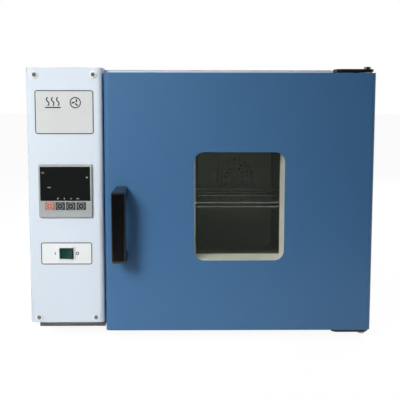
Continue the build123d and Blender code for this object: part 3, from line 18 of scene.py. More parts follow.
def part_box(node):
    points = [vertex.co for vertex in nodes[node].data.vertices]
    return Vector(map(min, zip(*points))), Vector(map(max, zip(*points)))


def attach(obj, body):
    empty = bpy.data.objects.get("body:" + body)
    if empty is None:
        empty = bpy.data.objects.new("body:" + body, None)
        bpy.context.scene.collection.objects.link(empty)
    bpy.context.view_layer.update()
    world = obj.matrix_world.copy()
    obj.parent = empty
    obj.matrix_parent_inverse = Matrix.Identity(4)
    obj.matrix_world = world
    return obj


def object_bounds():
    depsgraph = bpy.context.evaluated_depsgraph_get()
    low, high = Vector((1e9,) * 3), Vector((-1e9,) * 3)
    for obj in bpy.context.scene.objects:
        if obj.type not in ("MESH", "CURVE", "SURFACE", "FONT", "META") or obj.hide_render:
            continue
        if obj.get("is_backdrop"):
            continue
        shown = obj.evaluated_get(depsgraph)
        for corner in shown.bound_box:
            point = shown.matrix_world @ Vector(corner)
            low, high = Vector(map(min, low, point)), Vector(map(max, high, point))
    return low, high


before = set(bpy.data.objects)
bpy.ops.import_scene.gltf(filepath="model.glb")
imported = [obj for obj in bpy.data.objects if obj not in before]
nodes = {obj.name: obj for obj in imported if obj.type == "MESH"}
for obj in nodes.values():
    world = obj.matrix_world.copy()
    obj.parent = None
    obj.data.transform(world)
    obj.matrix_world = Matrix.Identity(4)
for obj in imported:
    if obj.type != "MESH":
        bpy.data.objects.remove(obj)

MM = 0.001
cad_low, cad_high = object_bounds()
print("pieces from the workshop:", len(nodes))
print("width, depth, height in mm:", [round(v / MM, 1) for v in cad_high - cad_low])

# %% [markdown]
# ## The camera
# The photograph was taken from about 1.6 m in front of the door, a little above the
# middle, with a lens that flattens perspective. One could drag a camera about until the
# picture fits. It is steadier to write down the place and the three small angles, and
# to build the rotation from the camera's own right, up and backward directions.

# %% Put the camera where the photographer stood
CAMERA_PLACE = Vector((-0.0256, -1.7956, 0.4589))
LOOK_DOWN = math.radians(7.17)
LOOK_RIGHT = math.radians(0.84)
TILT = math.radians(0.09)
LENS_MM = 79.2
SENSOR_MM = 36.0

forward = Vector((
    math.sin(LOOK_RIGHT) * math.cos(LOOK_DOWN),
    math.cos(LOOK_RIGHT) * math.cos(LOOK_DOWN),
    -math.sin(LOOK_DOWN),
))
level_right = forward.cross(Vector((0, 0, 1))).normalized()
level_up = level_right.cross(forward)
right = math.cos(TILT) * level_right + math.sin(TILT) * level_up
up = math.cos(TILT) * level_up - math.sin(TILT) * level_right

lens = bpy.data.cameras.new("portrait_lens")
lens.lens = LENS_MM
lens.sensor_width = SENSOR_MM
lens.sensor_fit = "HORIZONTAL"
camera = bpy.data.objects.new("portrait_camera", lens)
axes = Matrix((right, up, -forward)).transposed()
camera.matrix_world = Matrix.Translation(CAMERA_PLACE) @ axes.to_4x4()
bpy.context.scene.collection.objects.link(camera)
bpy.context.scene.camera = camera
door_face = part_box("door_skin")[0].y
print("camera stands", round(door_face - CAMERA_PLACE.y, 2), "m in front of the door")

# %% [markdown]
# ## Colours and nodes
# Colours are easiest to judge and write as the hex codes of a paint program, but
# Blender mixes light in linear values, so one function converts them. Every material is
# a small graph of nodes. Writing each node out takes many lines, so one more function
# adds a node of any kind with its settings and links, and nothing more than that.

# %% Two helpers for every material
def linear(code):
    """The linear colour of an sRGB hex code."""
    channels = [int(code[i:i + 2], 16) / 255 for i in (1, 3, 5)]
    curve = [c / 12.92 if c <= 0.04045 else ((c + 0.055) / 1.055) ** 2.4 for c in channels]
    return (*curve, 1.0)


def add(material, kind, settings=None, **links):
    """A new node of that kind. Settings name its sockets or its own properties; a link
    names a socket, with _ for a space, and gives the socket that feeds it."""
    tree = material.node_tree
    made = tree.nodes.new("ShaderNode" + kind)
    for name, value in (settings or {}).items():
        if name in made.inputs:
            made.inputs[name].default_value = value
        else:
            setattr(made, name, value)
    for name, source in links.items():
        key = int(name[1:]) if name[0] == "i" and name[1:].isdigit() else name.replace("_", " ")
        tree.links.new(source, made.inputs[key])
    return made


def blank(name):
    """A material with nothing in it but its output."""
    material = bpy.data.materials.new(name)
    material.use_nodes = True
    material.node_tree.nodes.clear()
    return material


print("steel grey #808080 is", round(linear("#808080")[0], 3), "in linear light")

# %% [markdown]
# ## Powder coat
# The panel, the door and the case are steel sheet sprayed with polyester powder and
# baked. The powder melts into a skin about 70 microns thick that never levels quite
# flat: it keeps a soft ripple a millimetre or two across, called orange peel, which
# breaks up reflections. A flat colour would look like paper. Here a fine noise bends
# the surface a few microns and a wide, very weak noise shifts the shade, as thickness
# does on a real panel. The ripple is real size, and just shows in the highlights.

# %% A function for baked powder
DRIFTS_PER_METRE = 4.0


def powder_coat(name, colour, roughness=0.42, peel=1.6, depth=0.010, drift=0.035):
    """Baked polyester powder. peel is the ripple's width and depth its height, in mm."""
    material = blank(name)
    place = add(material, "TexCoord").outputs["Object"]
    wide = add(material, "TexNoise", {"Scale": DRIFTS_PER_METRE, "Detail": 2.0},
               Vector=place)
    ripple = add(material, "TexNoise", {"Scale": 1 / (peel * MM), "Detail": 3.0},
                 Vector=place)
    base = linear(colour)
    thin = [c * (1 - drift) for c in base[:3]] + [1.0]
    thick = [min(1.0, c * (1 + drift)) for c in base[:3]] + [1.0]
    shade = add(material, "Mix", {"data_type": "RGBA"}, Factor=wide.outputs["Fac"])
    shade.inputs[6].default_value = thin
    shade.inputs[7].default_value = thick
    gloss = add(material, "MapRange", {"To Min": roughness - 0.05, "To Max": roughness + 0.05},
                Value=ripple.outputs["Fac"])
    bump = add(material, "Bump", {"Strength": 1.0, "Distance": depth * MM},
               Height=ripple.outputs["Fac"])
    skin = add(material, "BsdfPrincipled", {"IOR": 1.5}, Base_Color=shade.outputs[2],
               Roughness=gloss.outputs["Result"], Normal=bump.outputs["Normal"])
    add(material, "OutputMaterial", Surface=skin.outputs["BSDF"])
    return material


pale_coat = powder_coat("powder_coated_steel_pale", "#DCE6F0")
blue_coat = powder_coat("powder_coated_steel_blue", "#3F6F9C", roughness=0.38)
grey_coat = powder_coat("powder_coated_steel_grey", "#86887F", roughness=0.5)
black_coat = powder_coat("powder_coated_steel_black", "#0F1011", roughness=0.5, peel=0.9)
print("powder coats:", [m.name for m in (pale_coat, blue_coat, grey_coat, black_coat)])

# %% [markdown]
# ## Sheet steel and bright metals
# The chamber is rolled stainless steel, the hidden ribs and walls are zinc-plated, and
# the shelf is bright plated wire. Metals have no colour of their own under the surface,
# so metallic is 1 and the hex code is the tint of the reflection. Rolling leaves fine
# parallel lines some tenths of a millimetre apart. They would vanish at this distance,
# so they are drawn about three times as coarse. The lines are one noise, stretched
# twenty times along the rolling direction, that changes the gloss and bends the surface.

# %% A function for rolled sheet
LINE_LENGTH = 20
LINE_DEPTH_MM = 0.006
CLOUDS_PER_METRE = 14.0


def rolled_metal(name, colour, roughness, line=0.9, along="X", anisotropy=0.0):
    """Rolled or drawn metal. line is the spacing of the rolling lines in mm."""
    material = blank(name)
    place = add(material, "TexCoord").outputs["Object"]
    across = 1 / (line * MM)
    stretch = [across / LINE_LENGTH if axis == along else across for axis in "XYZ"]
    grain = add(material, "Mapping", {"Scale": stretch}, Vector=place)
    lines = add(material, "TexNoise", {"Scale": 1.0, "Detail": 2.0},
                Vector=grain.outputs["Vector"])
    cloud = add(material, "TexNoise", {"Scale": CLOUDS_PER_METRE, "Detail": 3.0},
                Vector=place)
    both = add(material, "Math", {"operation": "MULTIPLY"}, i0=lines.outputs["Fac"],
               i1=cloud.outputs["Fac"])
    gloss = add(material, "MapRange", {"From Max": 0.5, "To Min": roughness - 0.06,
                                       "To Max": roughness + 0.08}, Value=both.outputs[0])
    bump = add(material, "Bump", {"Strength": 0.6, "Distance": LINE_DEPTH_MM * MM},
               Height=lines.outputs["Fac"])
    metal = add(material, "BsdfPrincipled", {"Base Color": linear(colour), "Metallic": 1.0,
                                             "Anisotropic": anisotropy},
                Roughness=gloss.outputs["Result"], Normal=bump.outputs["Normal"])
    add(material, "OutputMaterial", Surface=metal.outputs["BSDF"])
    return material


# Painted shade: this stainless tint is darker than bare sheet, so the chamber, liner and shelf
# supports read dim.
shaded_stainless = rolled_metal("stainless_sheet_painted_shade", "#979590", 0.32, along="Z",
                         anisotropy=0.3)
duct_steel = rolled_metal("stainless_sheet_brushed", "#B2B3A8", 0.38, along="X",
                          anisotropy=0.5)
turned_steel = rolled_metal("stainless_turned", "#B4B6B5", 0.24, line=0.5, along="X")
chrome_wire = rolled_metal("steel_wire_chrome_plated", "#D5D7D8", 0.16, line=0.3)
bright_steel = rolled_metal("steel_bright_drawn", "#9A9C9E", 0.3, line=0.6, along="Z")
screw_steel = rolled_metal("steel_screw_oiled", "#8C8B88", 0.42, line=0.6)
fan_alloy = rolled_metal("aluminium_pressed", "#C4C6C8", 0.36, line=0.8)
heat_sink_alloy = rolled_metal("aluminium_extruded", "#B0B3B5", 0.4, line=0.5, along="Z")
print("materials so far:", len(bpy.data.materials))

# %% [markdown]
# ## Zinc plating
# The inner walls and brackets are plated with zinc. Hot-dipped zinc freezes into flat
# crystals, the spangle, each about 6 mm across and each reflecting a little differently.
# A Voronoi pattern gives one random value per cell, which is what a crystal needs.

# %% Zinc with its crystals
def zinc_plate(name, colour, spangle=6.0):
    """Zinc-plated steel. spangle is the width of a crystal in mm."""
    material = blank(name)
    place = add(material, "TexCoord").outputs["Object"]
    cells = add(material, "TexVoronoi", {"Scale": 1 / (spangle * MM)}, Vector=place)
    value = add(material, "RGBToBW", Color=cells.outputs["Color"])
    gloss = add(material, "MapRange", {"To Min": 0.34, "To Max": 0.52},
                Value=value.outputs["Val"])
    tone = add(material, "MapRange", {"To Min": 0.85, "To Max": 1.1},
               Value=value.outputs["Val"])
    tint = add(material, "Mix", {"data_type": "RGBA", "blend_type": "MULTIPLY", "Factor": 1.0})
    tint.inputs[6].default_value = linear(colour)
    material.node_tree.links.new(tone.outputs["Result"], tint.inputs[7])
    metal = add(material, "BsdfPrincipled", {"Metallic": 1.0}, Base_Color=tint.outputs[2],
                Roughness=gloss.outputs["Result"])
    add(material, "OutputMaterial", Surface=metal.outputs["BSDF"])
    return material


zinc = zinc_plate("steel_zinc_plated", "#B7BBBD")
zinc_screw = zinc_plate("screws_zinc_plated", "#BBBFC1", spangle=1.2)
print("zinc:", zinc.name, "and", zinc_screw.name)

# %% [markdown]
# ## Moulded plastics and rubber
# The controller's case, the rocker, the keys and the handle are moulded. Their moulds
# are spark-eroded, which prints a fine matt grain of 0.2 to 0.5 mm into the plastic,
# except where the tool is polished and the part comes out glossy. So one function makes
# both, with the depth of that grain as its most important number.

# %% A function for mouldings
HAZES_PER_METRE = 25.0


def moulding(name, colour, roughness, grain=0.4, depth=0.012, ior=1.5, coat=0.0):
    """Moulded plastic or rubber. grain is the width and depth the height, in mm."""
    material = blank(name)
    place = add(material, "TexCoord").outputs["Object"]
    texture = add(material, "TexNoise", {"Scale": 1 / (grain * MM), "Detail": 2.0},
                  Vector=place)
    haze = add(material, "TexNoise", {"Scale": HAZES_PER_METRE, "Detail": 3.0},
               Vector=place)
    gloss = add(material, "MapRange", {"To Min": roughness - 0.06, "To Max": roughness + 0.06},
                Value=haze.outputs["Fac"])
    bump = add(material, "Bump", {"Strength": 1.0, "Distance": depth * MM},
               Height=texture.outputs["Fac"])
    shade = add(material, "Mix", {"data_type": "RGBA"}, Factor=haze.outputs["Fac"])
    base = linear(colour)
    shade.inputs[6].default_value = [c * 0.93 for c in base[:3]] + [1.0]
    shade.inputs[7].default_value = [min(1.0, c * 1.07) for c in base[:3]] + [1.0]
    body = add(material, "BsdfPrincipled", {"IOR": ior, "Coat Weight": coat},
               Base_Color=shade.outputs[2], Roughness=gloss.outputs["Result"],
               Normal=bump.outputs["Normal"])
    add(material, "OutputMaterial", Surface=body.outputs["BSDF"])
    return material


handle_plastic = moulding("nylon_moulded_black", "#08080A", 0.22, grain=0.5, depth=0.02,
                          ior=1.53)
bezel_plastic = moulding("polycarbonate_moulded_grey", "#ABAEAE", 0.45, ior=1.58)
smoked_acrylic = moulding("acrylic_smoked_polished", "#1B1D1C", 0.12, depth=0.0, ior=1.49)
red_key = moulding("silicone_key_red", "#B86E5F", 0.5, ior=1.43)
dark_key = moulding("silicone_key_charcoal", "#27292A", 0.5, ior=1.43)
pad_silicone = moulding("silicone_mat_grey", "#6F7275", 0.6, ior=1.43)
switch_plastic = moulding("polyamide_moulded_white", "#E6E8E9", 0.3, depth=0.006)
rocker_plastic = moulding("polycarbonate_tinted_green", "#063A2E", 0.18, depth=0.0,
                          ior=1.5)
cap_plastic = moulding("polyethylene_moulded_white", "#EEF1F2", 0.35, depth=0.006)
black_plastic = moulding("polyamide_moulded_black", "#1B1B1C", 0.4)
terminal_plastic = moulding("phenolic_moulded_black", "#2A2A2A", 0.35)
foot_rubber = moulding("rubber_moulded_black", "#171717", 0.75, grain=0.6, depth=0.03)
cable_rubber = moulding("pvc_cable_jacket", "#1C1C1D", 0.5)
gasket_silicone = moulding("silicone_seal_extruded", "#9A9A94", 0.55, ior=1.43)
spacer_paint = moulding("aluminium_spacer_painted", "#F6F3E6", 0.5)
bush_nylon = moulding("nylon_turned_natural", "#D9D6CC", 0.45, ior=1.53)
label_film = moulding("polyester_film_grey", "#D6D8D7", 0.5, grain=0.3, depth=0.004)
plate_film = moulding("polyester_film_white", "#EDF0F0", 0.45, grain=0.3, depth=0.004)
motor_paint = moulding("iron_casting_painted", "#4A4D50", 0.5, grain=1.2, depth=0.05)
print("materials so far:", len(bpy.data.materials))

# %% [markdown]
# ## Things that no family covers
# The window is toughened soda-lime glass, the heater's sheath is steel that has been red
# hot and shows straw and blue bands, and the jacket is glass wool. Each is its own graph.
# Glass in a path tracer keeps lamps from lighting what is behind it, because a shadow
# ray stops at the pane. So for shadow rays alone the pane is plainly transparent. The
# The inner pane of an oven door has a thin coat that throws heat back; here its tints are darker
# still, as painted shade that dims the view into the chamber and the lamplight reaching it.

# %% Glass, heat-tinted steel and glass wool

def window_glass(name, clear, let_in):
    """A pane. clear tints what one sees through it, let_in the lamplight it lets pass."""
    material = blank(name)
    pane = add(material, "BsdfPrincipled", {"Base Color": linear(clear), "IOR": 1.52,
                                            "Transmission Weight": 1.0, "Roughness": 0.0})
    see_through = add(material, "BsdfTransparent", {"Color": linear(let_in)})
    ray = add(material, "LightPath")
    mixed = add(material, "MixShader", i0=ray.outputs["Is Shadow Ray"],
                i1=pane.outputs["BSDF"], i2=see_through.outputs["BSDF"])
    add(material, "OutputMaterial", Surface=mixed.outputs["Shader"])
    return material


glass = window_glass("soda_lime_glass_toughened", "#F6F8F7", "#EEF1EF")
# Painted shade: the dark clear and let-in tints of the inner pane dim the chamber behind it.
chamber_shade_glass = window_glass("soda_lime_glass_painted_shade", "#E4E5E1", "#8E908C")

HEAT_BANDS_PER_METRE = 30.0
HEAT_TINTS = ((0.3, "#5C544B"), (0.5, "#7A6244"), (0.62, "#4C4F63"))
sheath = blank("incoloy_sheath_heat_tinted")
place = add(sheath, "TexCoord").outputs["Object"]
bands = add(sheath, "TexNoise", {"Scale": HEAT_BANDS_PER_METRE, "Detail": 2.0}, Vector=place)
tints = add(sheath, "ValToRGB", Fac=bands.outputs["Fac"])
for position, code in HEAT_TINTS:
    stop = tints.color_ramp.elements.new(position)
    stop.color = linear(code)
for spare in (tints.color_ramp.elements[-1], tints.color_ramp.elements[0]):
    tints.color_ramp.elements.remove(spare)
metal = add(sheath, "BsdfPrincipled", {"Metallic": 1.0, "Roughness": 0.5},
            Base_Color=tints.outputs["Color"])
add(sheath, "OutputMaterial", Surface=metal.outputs["BSDF"])

TUFT_WIDTH_MM, TUFT_HEIGHT_MM = 2.5, 1.5
wool = blank("glass_wool_felted")
place = add(wool, "TexCoord").outputs["Object"]
fibre = add(wool, "TexNoise", {"Scale": 1 / (TUFT_WIDTH_MM * MM), "Detail": 4.0,
                               "Distortion": 2.0}, Vector=place)
tuft = add(wool, "MixRGB", Fac=fibre.outputs["Fac"])
tuft.inputs["Color1"].default_value = linear("#B9A869")
tuft.inputs["Color2"].default_value = linear("#E6DBA6")
lump = add(wool, "Bump", {"Strength": 1.0, "Distance": TUFT_HEIGHT_MM * MM},
           Height=fibre.outputs["Fac"])
felt = add(wool, "BsdfPrincipled", {"Roughness": 0.95, "Sheen Weight": 0.4},
           Base_Color=tuft.outputs["Color"], Normal=lump.outputs["Normal"])
add(wool, "OutputMaterial", Surface=felt.outputs["BSDF"])
print("special materials:", [m.name for m in (glass, chamber_shade_glass, sheath, wool)])

# %% [markdown]
# ## Dressing the engineering pieces
# Every piece from the workshop now gets its finish. A real edge is never perfectly
# sharp: a cut sheet is deburred, a moulding has a small radius, and that thin radius is
# what catches a line of light. Changing the meshes would break the match with the
# engineering model, so the rounding is a modifier that leaves the mesh itself alone.
# It first joins the doubled points that the file format leaves along each edge.

# %% Give each piece its finish
FINISHES = {
    pale_coat: "outer_case control_panel rear_panel front_frame",
    grey_coat: "base_tray panel_sill",
    blue_coat: "door_skin",
    black_coat: "hinge_brackets",
    shaded_stainless: "chamber_wrap chamber_back door_liner shelf_uprights shelf_rails",
    duct_steel: "duct_cover",
    turned_steel: "temp_probe vent_tube vent_plate",
    chrome_wire: "wire_shelf",
    bright_steel: "hinge_pins",
    screw_steel: "panel_screws hinge_screws",
    fan_alloy: "fan_rotor",
    heat_sink_alloy: "relay",
    zinc: "compartment_wall motor_bracket panel_brackets strike_plate",
    zinc_screw: "pan_head_screws handle_screws",
    handle_plastic: "handle",
    bezel_plastic: "controller_case",
    smoked_acrylic: "display_window",
    red_key: "key_1",
    dark_key: "key_2 key_3 key_4",
    pad_silicone: "key_pad",
    switch_plastic: "switch_housing",
    rocker_plastic: "rocker",
    cap_plastic: "screw_caps",
    black_plastic: "magnet_catch mains_inlet vent_damper",
    terminal_plastic: "terminal_block",
    foot_rubber: "feet",
    cable_rubber: "wiring",
    gasket_silicone: "door_gasket",
    spacer_paint: "window_spacer",
    bush_nylon: "hinge_bushes",
    label_film: "label_plate",
    plate_film: "switch_plate",
    motor_paint: "fan_motor",
    glass: "outer_glass",
    chamber_shade_glass: "inner_glass",
    sheath: "heater",
    wool: "insulation_jacket insulation_back door_insulation",
}
dressed = set()
for material, names in FINISHES.items():
    for name in names.split():
        piece = nodes[name]
        piece.data.materials.clear()
        piece.data.materials.append(material)
        dressed.add(name)
print("dressed:", len(dressed), "left plain:", sorted(set(nodes) - dressed))

# %% Round the edges that the light can find, by radius in mm
DOUBLES_MM = 0.002
EDGE_RADIUS = {
    1.2: "door_skin",
    0.5: "control_panel outer_case panel_sill",
    0.35: "controller_case",
    0.9: "handle",
    0.6: "hinge_brackets rocker switch_housing",
    1.0: "key_1 key_2 key_3 key_4",
    0.3: "screw_caps panel_screws vent_plate duct_cover",
}
SHARP = math.radians(35)
for radius, names in EDGE_RADIUS.items():
    for name in names.split():
        weld = nodes[name].modifiers.new("join_doubles", "WELD")
        weld.merge_threshold = DOUBLES_MM * MM
        edge = nodes[name].modifiers.new("round_edges", "BEVEL")
        edge.width = radius * MM
        edge.segments = 2
        edge.limit_method = "ANGLE"
        edge.angle_limit = SHARP
        edge.use_clamp_overlap = True
        edge.harden_normals = True
rounded_pieces = " ".join(EDGE_RADIUS.values()).split()
print("edges rounded on", len(rounded_pieces), "pieces")

# %% [markdown]
# ## Printed and moulded marks
# The outlines round the two plates, the rings on the keys and the marks on the screen
# are ink or thin moulding, some tenths of a millimetre high. They could be painted with
# a texture, but a texture needs an image and blurs close up. Each mark is instead a thin
# closed solid that stands on its plate, cut to the outline of the ink. One function
# makes it from a loop of points in the plane of the panel, and a second loop cuts out
# the middle when the mark is a ring or a frame.

# %% Loops of points, in millimetres from the mark's own centre
def rounded(width, height, corner, steps=6):
    """A rectangle with rounded corners."""
    points = []
    for turn, (sx, sz) in enumerate(((1, 1), (-1, 1), (-1, -1), (1, -1))):
        for step in range(steps + 1):
            angle = math.radians(90 * turn + 90 * step / steps)
            points.append((sx * (width / 2 - corner) + corner * math.cos(angle),
                           sz * (height / 2 - corner) + corner * math.sin(angle)))
    return points


def circle(radius, steps=40):
    turns = [2 * math.pi * i / steps for i in range(steps)]
    return [(radius * math.cos(a), radius * math.sin(a)) for a in turns]


def ribbon(centre_line, width):
    """The outline of a stroke of ink along a line of points."""
    left, right_side = [], []
    last = len(centre_line) - 1
    for i, (x, z) in enumerate(centre_line):
        x0, z0 = centre_line[max(i - 1, 0)]
        x1, z1 = centre_line[min(i + 1, last)]
        run = math.hypot(x1 - x0, z1 - z0)
        nx, nz = -(z1 - z0) / run * width / 2, (x1 - x0) / run * width / 2
        left.append((x + nx, z + nz))
        right_side.append((x - nx, z - nz))
    return right_side + left[::-1]


print("a rounded frame has", len(rounded(10, 10, 2)), "points")


# %% One mark, or several, as thin solids on a face that looks to the front
def printed(name, shapes, face_y, height, body, material, sink=0.02):
    """shapes holds (centre x, centre z, outer loop, inner loop or None), in mm.
    The ink stands height mm out of the face, and sinks a little into it."""
    mesh = bmesh.new()
    for cx, cz, outer, inner in shapes:
        loops = [outer] if inner is None else [outer, inner]
        rings = []
        for y in (face_y / MM - height, face_y / MM + sink):
            rings.append([[mesh.verts.new(((cx + x) * MM, y * MM, (cz + z) * MM))
                           for x, z in loop] for loop in loops])
        count = len(outer)
        for front, back in zip(rings[0], rings[1]):
            for i in range(count):
                j = (i + 1) % count
                mesh.faces.new((front[i], front[j], back[j], back[i]))
        for ring in rings:
            if inner is None:
                mesh.faces.new(ring[0])
            else:
                for i in range(count):
                    j = (i + 1) % count
                    mesh.faces.new((ring[0][i], ring[0][j], ring[1][j], ring[1][i]))
    bmesh.ops.recalc_face_normals(mesh, faces=mesh.faces)
    data = bpy.data.meshes.new(name)
    mesh.to_mesh(data)
    mesh.free()
    data.materials.append(material)
    piece = bpy.data.objects.new(name, data)
    bpy.context.scene.collection.objects.link(piece)
    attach(piece, body)
    print(name, "rides on", body, "with", len(data.polygons), "faces")
    return piece


def face_of(node):
    """The plane, and the centre in mm, of a node's front."""
    low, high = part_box(node)
    return low.y, (low.x + high.x) / 2 / MM, (low.z + high.z) / 2 / MM


# %% [markdown]
# ## The label and the switch plate
# Both are thin films stuck on the panel, each with a dark outline a little inside its
# edge. The upper label names the machine on the real one; here it carries two plain
# signs of the same weight, rising heat and a fan, which say what the oven does without
# a word. The switch plate has the line and the circle that stand for on and off.

# %% Ink for the plates
ink = moulding("screen_ink_dark_grey", "#1B1F27", 0.5, grain=0.3, depth=0.002)
bright_ink = moulding("screen_ink_pale", "#8F9494", 0.5, grain=0.3, depth=0.002)
INK_HEIGHT = 0.08
LINE = 1.6

# %% The outlines
def ink_frame(name, plate, margin, outer_corner, inner_corner):
    """A line of ink all round a plate, inside its edge by half the margin, in mm."""
    low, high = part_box(plate)
    width, height = ((high[i] - low[i]) / MM - margin for i in (0, 2))
    face_y, x, z = face_of(plate)
    outer = rounded(width, height, outer_corner)
    inner = rounded(width - 2 * LINE, height - 2 * LINE, inner_corner)
    printed(name, [(x, z, outer, inner)], face_y, INK_HEIGHT, "cabinet", ink)
    return face_y, x, z


label_y, label_x, label_z = ink_frame("label_outline", "label_plate", 0.6, 4.7, 3.0)
switch_y, switch_x, switch_z = ink_frame("switch_outline", "switch_plate", 0.4, 3.7, 2.2)

# %% The signs for heat and for the fan, in mm from the label's centre
SIGN_X, SIGN_Z = 20.0, 17.0
STROKE = 2.2
WAVE_GAP, WAVE_FOOT, WAVE_TOP = 9.0, -5.5, 9.5
PLATE_WIDTH, PLATE_DROP = 28.0, 8.6
FAN_RADIUS, FAN_RING, BLADE = 10.0, 1.9, 2.6


def wave(x, low, high, swing=2.2, steps=24):
    """A wavy line that rises, as warm air does."""
    return [(x + swing * math.sin(2 * math.pi * i / steps), low + (high - low) * i / steps)
            for i in range(steps + 1)]


heat_x, fan_x, sign_z = label_x - SIGN_X, label_x + SIGN_X, label_z + SIGN_Z
signs = [(heat_x, sign_z, ribbon(wave(dx, WAVE_FOOT, WAVE_TOP), STROKE), None)
         for dx in (-WAVE_GAP, 0, WAVE_GAP)]
signs.append((heat_x, sign_z - PLATE_DROP, rounded(PLATE_WIDTH, STROKE, 0.5), None))
signs.append((fan_x, sign_z, circle(FAN_RADIUS), circle(FAN_RADIUS - FAN_RING)))
for turn in range(3):
    start = math.radians(120 * turn + 30)
    blade = [(r * math.cos(start + bend), r * math.sin(start + bend)) for r, bend in
             ((1.2, 0.0), (3.0, 0.35), (5.0, 0.6), (6.6, 0.7))]
    signs.append((fan_x, sign_z, ribbon(blade, BLADE), None))
printed("label_signs", signs, label_y, INK_HEIGHT, "cabinet", ink)

# %% On and off
ON_X, OFF_X = -265.4, -225.1
printed("switch_signs", [(ON_X, switch_z, rounded(1.5, 4.4, 0.3), None),
                         (OFF_X, switch_z, circle(2.9, 28), circle(1.6, 28))],
        switch_y, INK_HEIGHT, "cabinet", ink)

# %% [markdown]
# ## The controller's face
# The screen is off, so all one sees is smoked acrylic with a few pale marks printed
# behind it: a unit mark, a dash between two rows of digits, and four small signs over
# the keys. Each key carries a raised ring, and inside it an arrow or a dot.

# %% Marks on the screen, with their centres in mm in the oven's own frame
screen_y = face_of("display_window")[0]
UNDER_SCREEN_HEIGHT = 0.03
SIGN_ROW_Z = 263.4
SCREEN_MARKS = [
    (-284.7, 309.6, ribbon([(-2.4, -1.2), (-1.6, 0.6), (0, 1.3), (1.6, 0.6), (2.4, -1.2)], 0.9)),
    (-273.7, 283.4, rounded(6.0, 1.7, 0.6)),
    (-205.8, 301.9, circle(1.6, 20)),
    (-258.3, SIGN_ROW_Z, circle(1.5, 20)),
    (-246.6, SIGN_ROW_Z, rounded(2.4, 2.4, 0.6)),
    (-234.3, SIGN_ROW_Z, rounded(3.4, 1.5, 0.6)),
    (-222.6, SIGN_ROW_Z, rounded(5.2, 1.6, 0.6)),
]
printed("screen_marks", [(x, z, loop, None) for x, z, loop in SCREEN_MARKS], screen_y,
        UNDER_SCREEN_HEIGHT, "cabinet", bright_ink)

# %% Rings and arrows on the keys
KEY_PRINT_HEIGHT = 0.1
KEY_RING = circle(6.2), circle(5.1)
ring_ink = moulding("silicone_key_print_pale", "#8E9494", 0.5)
warm_ink = moulding("silicone_key_print_rose", "#D9A79A", 0.5)
ARROWS = {
    "key_1": circle(1.7, 24),
    "key_2": [(-2.2, 1.2), (2.2, 1.2), (0, -2.0)][::-1],
    "key_3": [(-2.2, -1.2), (2.2, -1.2), (0, 2.0)],
    "key_4": [(1.4, -2.2), (1.4, 2.2), (-1.8, 0)],
}
for key, arrow in ARROWS.items():
    key_y, key_x, key_z = face_of(key)
    tone = warm_ink if key == "key_1" else ring_ink
    marks = [(key_x, key_z, *KEY_RING), (key_x, key_z, arrow, None)]
    printed(key + "_marks", marks, key_y, KEY_PRINT_HEIGHT, key + "_body",
            tone)

# %% [markdown]
# ## The studio
# The photograph is a cut-out on pure white, taken in soft even light that comes a
# little more from the upper left. A white room could be built, but then the light on
# the object and the white behind it would hang together. The world is split instead:
# rays from the camera, mirror rays and rays through glass see pure white, and the light
# itself is a separate, lower value. The floor does the same by most of it, so it reads
# as white and still keeps the oven's shadow.

# %% World and floor. FLOOR_SHARE is how much of the floor's look is its own glow
WORLD_LIGHT = 0.17
world = bpy.data.worlds.new("white_room")
world.use_nodes = True
world.node_tree.nodes.clear()
path = add(world, "LightPath")
seen = add(world, "Math", {"operation": "MAXIMUM"}, i0=path.outputs["Is Camera Ray"],
           i1=path.outputs["Is Glossy Ray"])
seen = add(world, "Math", {"operation": "MAXIMUM"}, i0=seen.outputs[0],
           i1=path.outputs["Is Transmission Ray"])
level = add(world, "MapRange", {"To Min": WORLD_LIGHT, "To Max": 1.0}, Value=seen.outputs[0])
sky = add(world, "Background", {"Color": linear("#FFFFFF")}, Strength=level.outputs["Result"])
add(world, "OutputWorld", Surface=sky.outputs["Background"])
bpy.context.scene.world = world

FLOOR_SIZE = 30.0
FLOOR_SHARE, FLOOR_GLOW = 0.85, 1.1
floor_mesh = bpy.data.meshes.new("studio_floor")
half = FLOOR_SIZE / 2
floor_mesh.from_pydata([(-half, -half, 0), (half, -half, 0), (half, half, 0), (-half, half, 0)],
                       [], [(0, 1, 2, 3)])
floor = bpy.data.objects.new("studio_floor", floor_mesh)
bpy.context.scene.collection.objects.link(floor)
floor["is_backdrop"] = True
paper = blank("white_studio_floor")
matt = add(paper, "BsdfDiffuse", {"Color": linear("#F6F6F6")})
glow = add(paper, "Emission", {"Color": linear("#FFFFFF"), "Strength": FLOOR_GLOW})
path = add(paper, "LightPath")
seen = add(paper, "Math", {"operation": "MAXIMUM"}, i0=path.outputs["Is Camera Ray"],
           i1=path.outputs["Is Glossy Ray"])
share = add(paper, "Math", {"operation": "MULTIPLY"}, i0=seen.outputs[0])
share.inputs[1].default_value = FLOOR_SHARE
floor_mix = add(paper, "MixShader", i0=share.outputs[0], i1=matt.outputs["BSDF"],
                i2=glow.outputs["Emission"])
add(paper, "OutputMaterial", Surface=floor_mix.outputs["Shader"])
floor_mesh.materials.append(paper)

# %% [markdown]
# The camera end of the room was dark, which is why the handle, the screen and the
# window stay black in the photograph. A black card stands there, as a photographer
# would set one up. Only rays from a mirror or through a pane see it, so it darkens
# what shines and what lies behind the window, and nothing else. Through the panes it
# glows faintly, as the dim room did, or the chamber would be black.

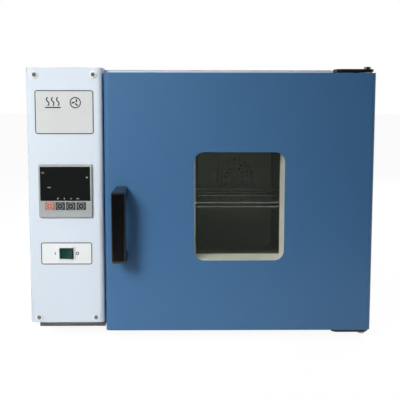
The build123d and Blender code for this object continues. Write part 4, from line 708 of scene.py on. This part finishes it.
# %% The black card between the camera and the door
CARD_Y, CARD_HALF = -0.85, 2.2
CARD_FOOT, CARD_TOP = 0.002, 3.2
THROUGH_GLASS = 0.16
card_mesh = bpy.data.meshes.new("black_card")
card_mesh.from_pydata([(-CARD_HALF, CARD_Y, CARD_FOOT), (CARD_HALF, CARD_Y, CARD_FOOT),
                       (CARD_HALF, CARD_Y, CARD_TOP), (-CARD_HALF, CARD_Y, CARD_TOP)],
                      [], [(0, 1, 2, 3)])
card = bpy.data.objects.new("black_card", card_mesh)
for ray_kind in ("camera", "diffuse", "volume_scatter", "shadow"):
    setattr(card, "visible_" + ray_kind, False)
velvet = blank("black_velvet")
matt = add(velvet, "BsdfDiffuse", {"Color": linear("#202020")})
dim = add(velvet, "Emission", {"Color": linear("#F2FFF0"), "Strength": THROUGH_GLASS})
path = add(velvet, "LightPath")
card_mix = add(velvet, "MixShader", i0=path.outputs["Is Transmission Ray"],
               i1=matt.outputs["BSDF"], i2=dim.outputs["Emission"])
add(velvet, "OutputMaterial", Surface=card_mix.outputs["Shader"])
card_mesh.materials.append(velvet)
bpy.context.scene.collection.objects.link(card)
card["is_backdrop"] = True
print("black card", 2 * CARD_HALF, "m wide")

# %% Four soft lamps: place and aim in m, width in m, power in W, spread in degrees
LAMPS = {
    "window_light_left": ((-1.15, -2.1, 1.35), (-0.36, -0.2, 0.37), 1.0, 3.9, 40),
    "room_fill_front": ((-0.6, -3.0, 0.9), (-0.2, -0.1, 0.35), 1.6, 1.0, 180),
    "top_soft": ((0.0, -0.3, 2.3), (0.0, 0.0, 0.25), 1.8, 4.5, 180),
    "back_soft": ((1.3, 1.9, 1.4), (0.1, 0.1, 0.25), 1.5, 18.0, 180),
}
for name, (where, aim, size, watts, spread) in LAMPS.items():
    lamp = bpy.data.lights.new(name, "AREA")
    lamp.shape = "SQUARE"
    lamp.size = size
    lamp.energy = watts
    lamp.spread = math.radians(spread)
    holder = bpy.data.objects.new(name, lamp)
    holder.location = where
    holder.rotation_mode = "QUATERNION"
    holder.rotation_quaternion = (Vector(aim) - Vector(where)).to_track_quat("-Z", "Y")
    bpy.context.scene.collection.objects.link(holder)
bpy.context.scene.view_settings.view_transform = "Standard"
print("lamps:", list(LAMPS))

# %% Print how much the dressing grew the box, and finish
low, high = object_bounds()
growth = (high - low) - (cad_high - cad_low)
print("grown by, in mm:", [round(value / MM, 2) for value in growth])
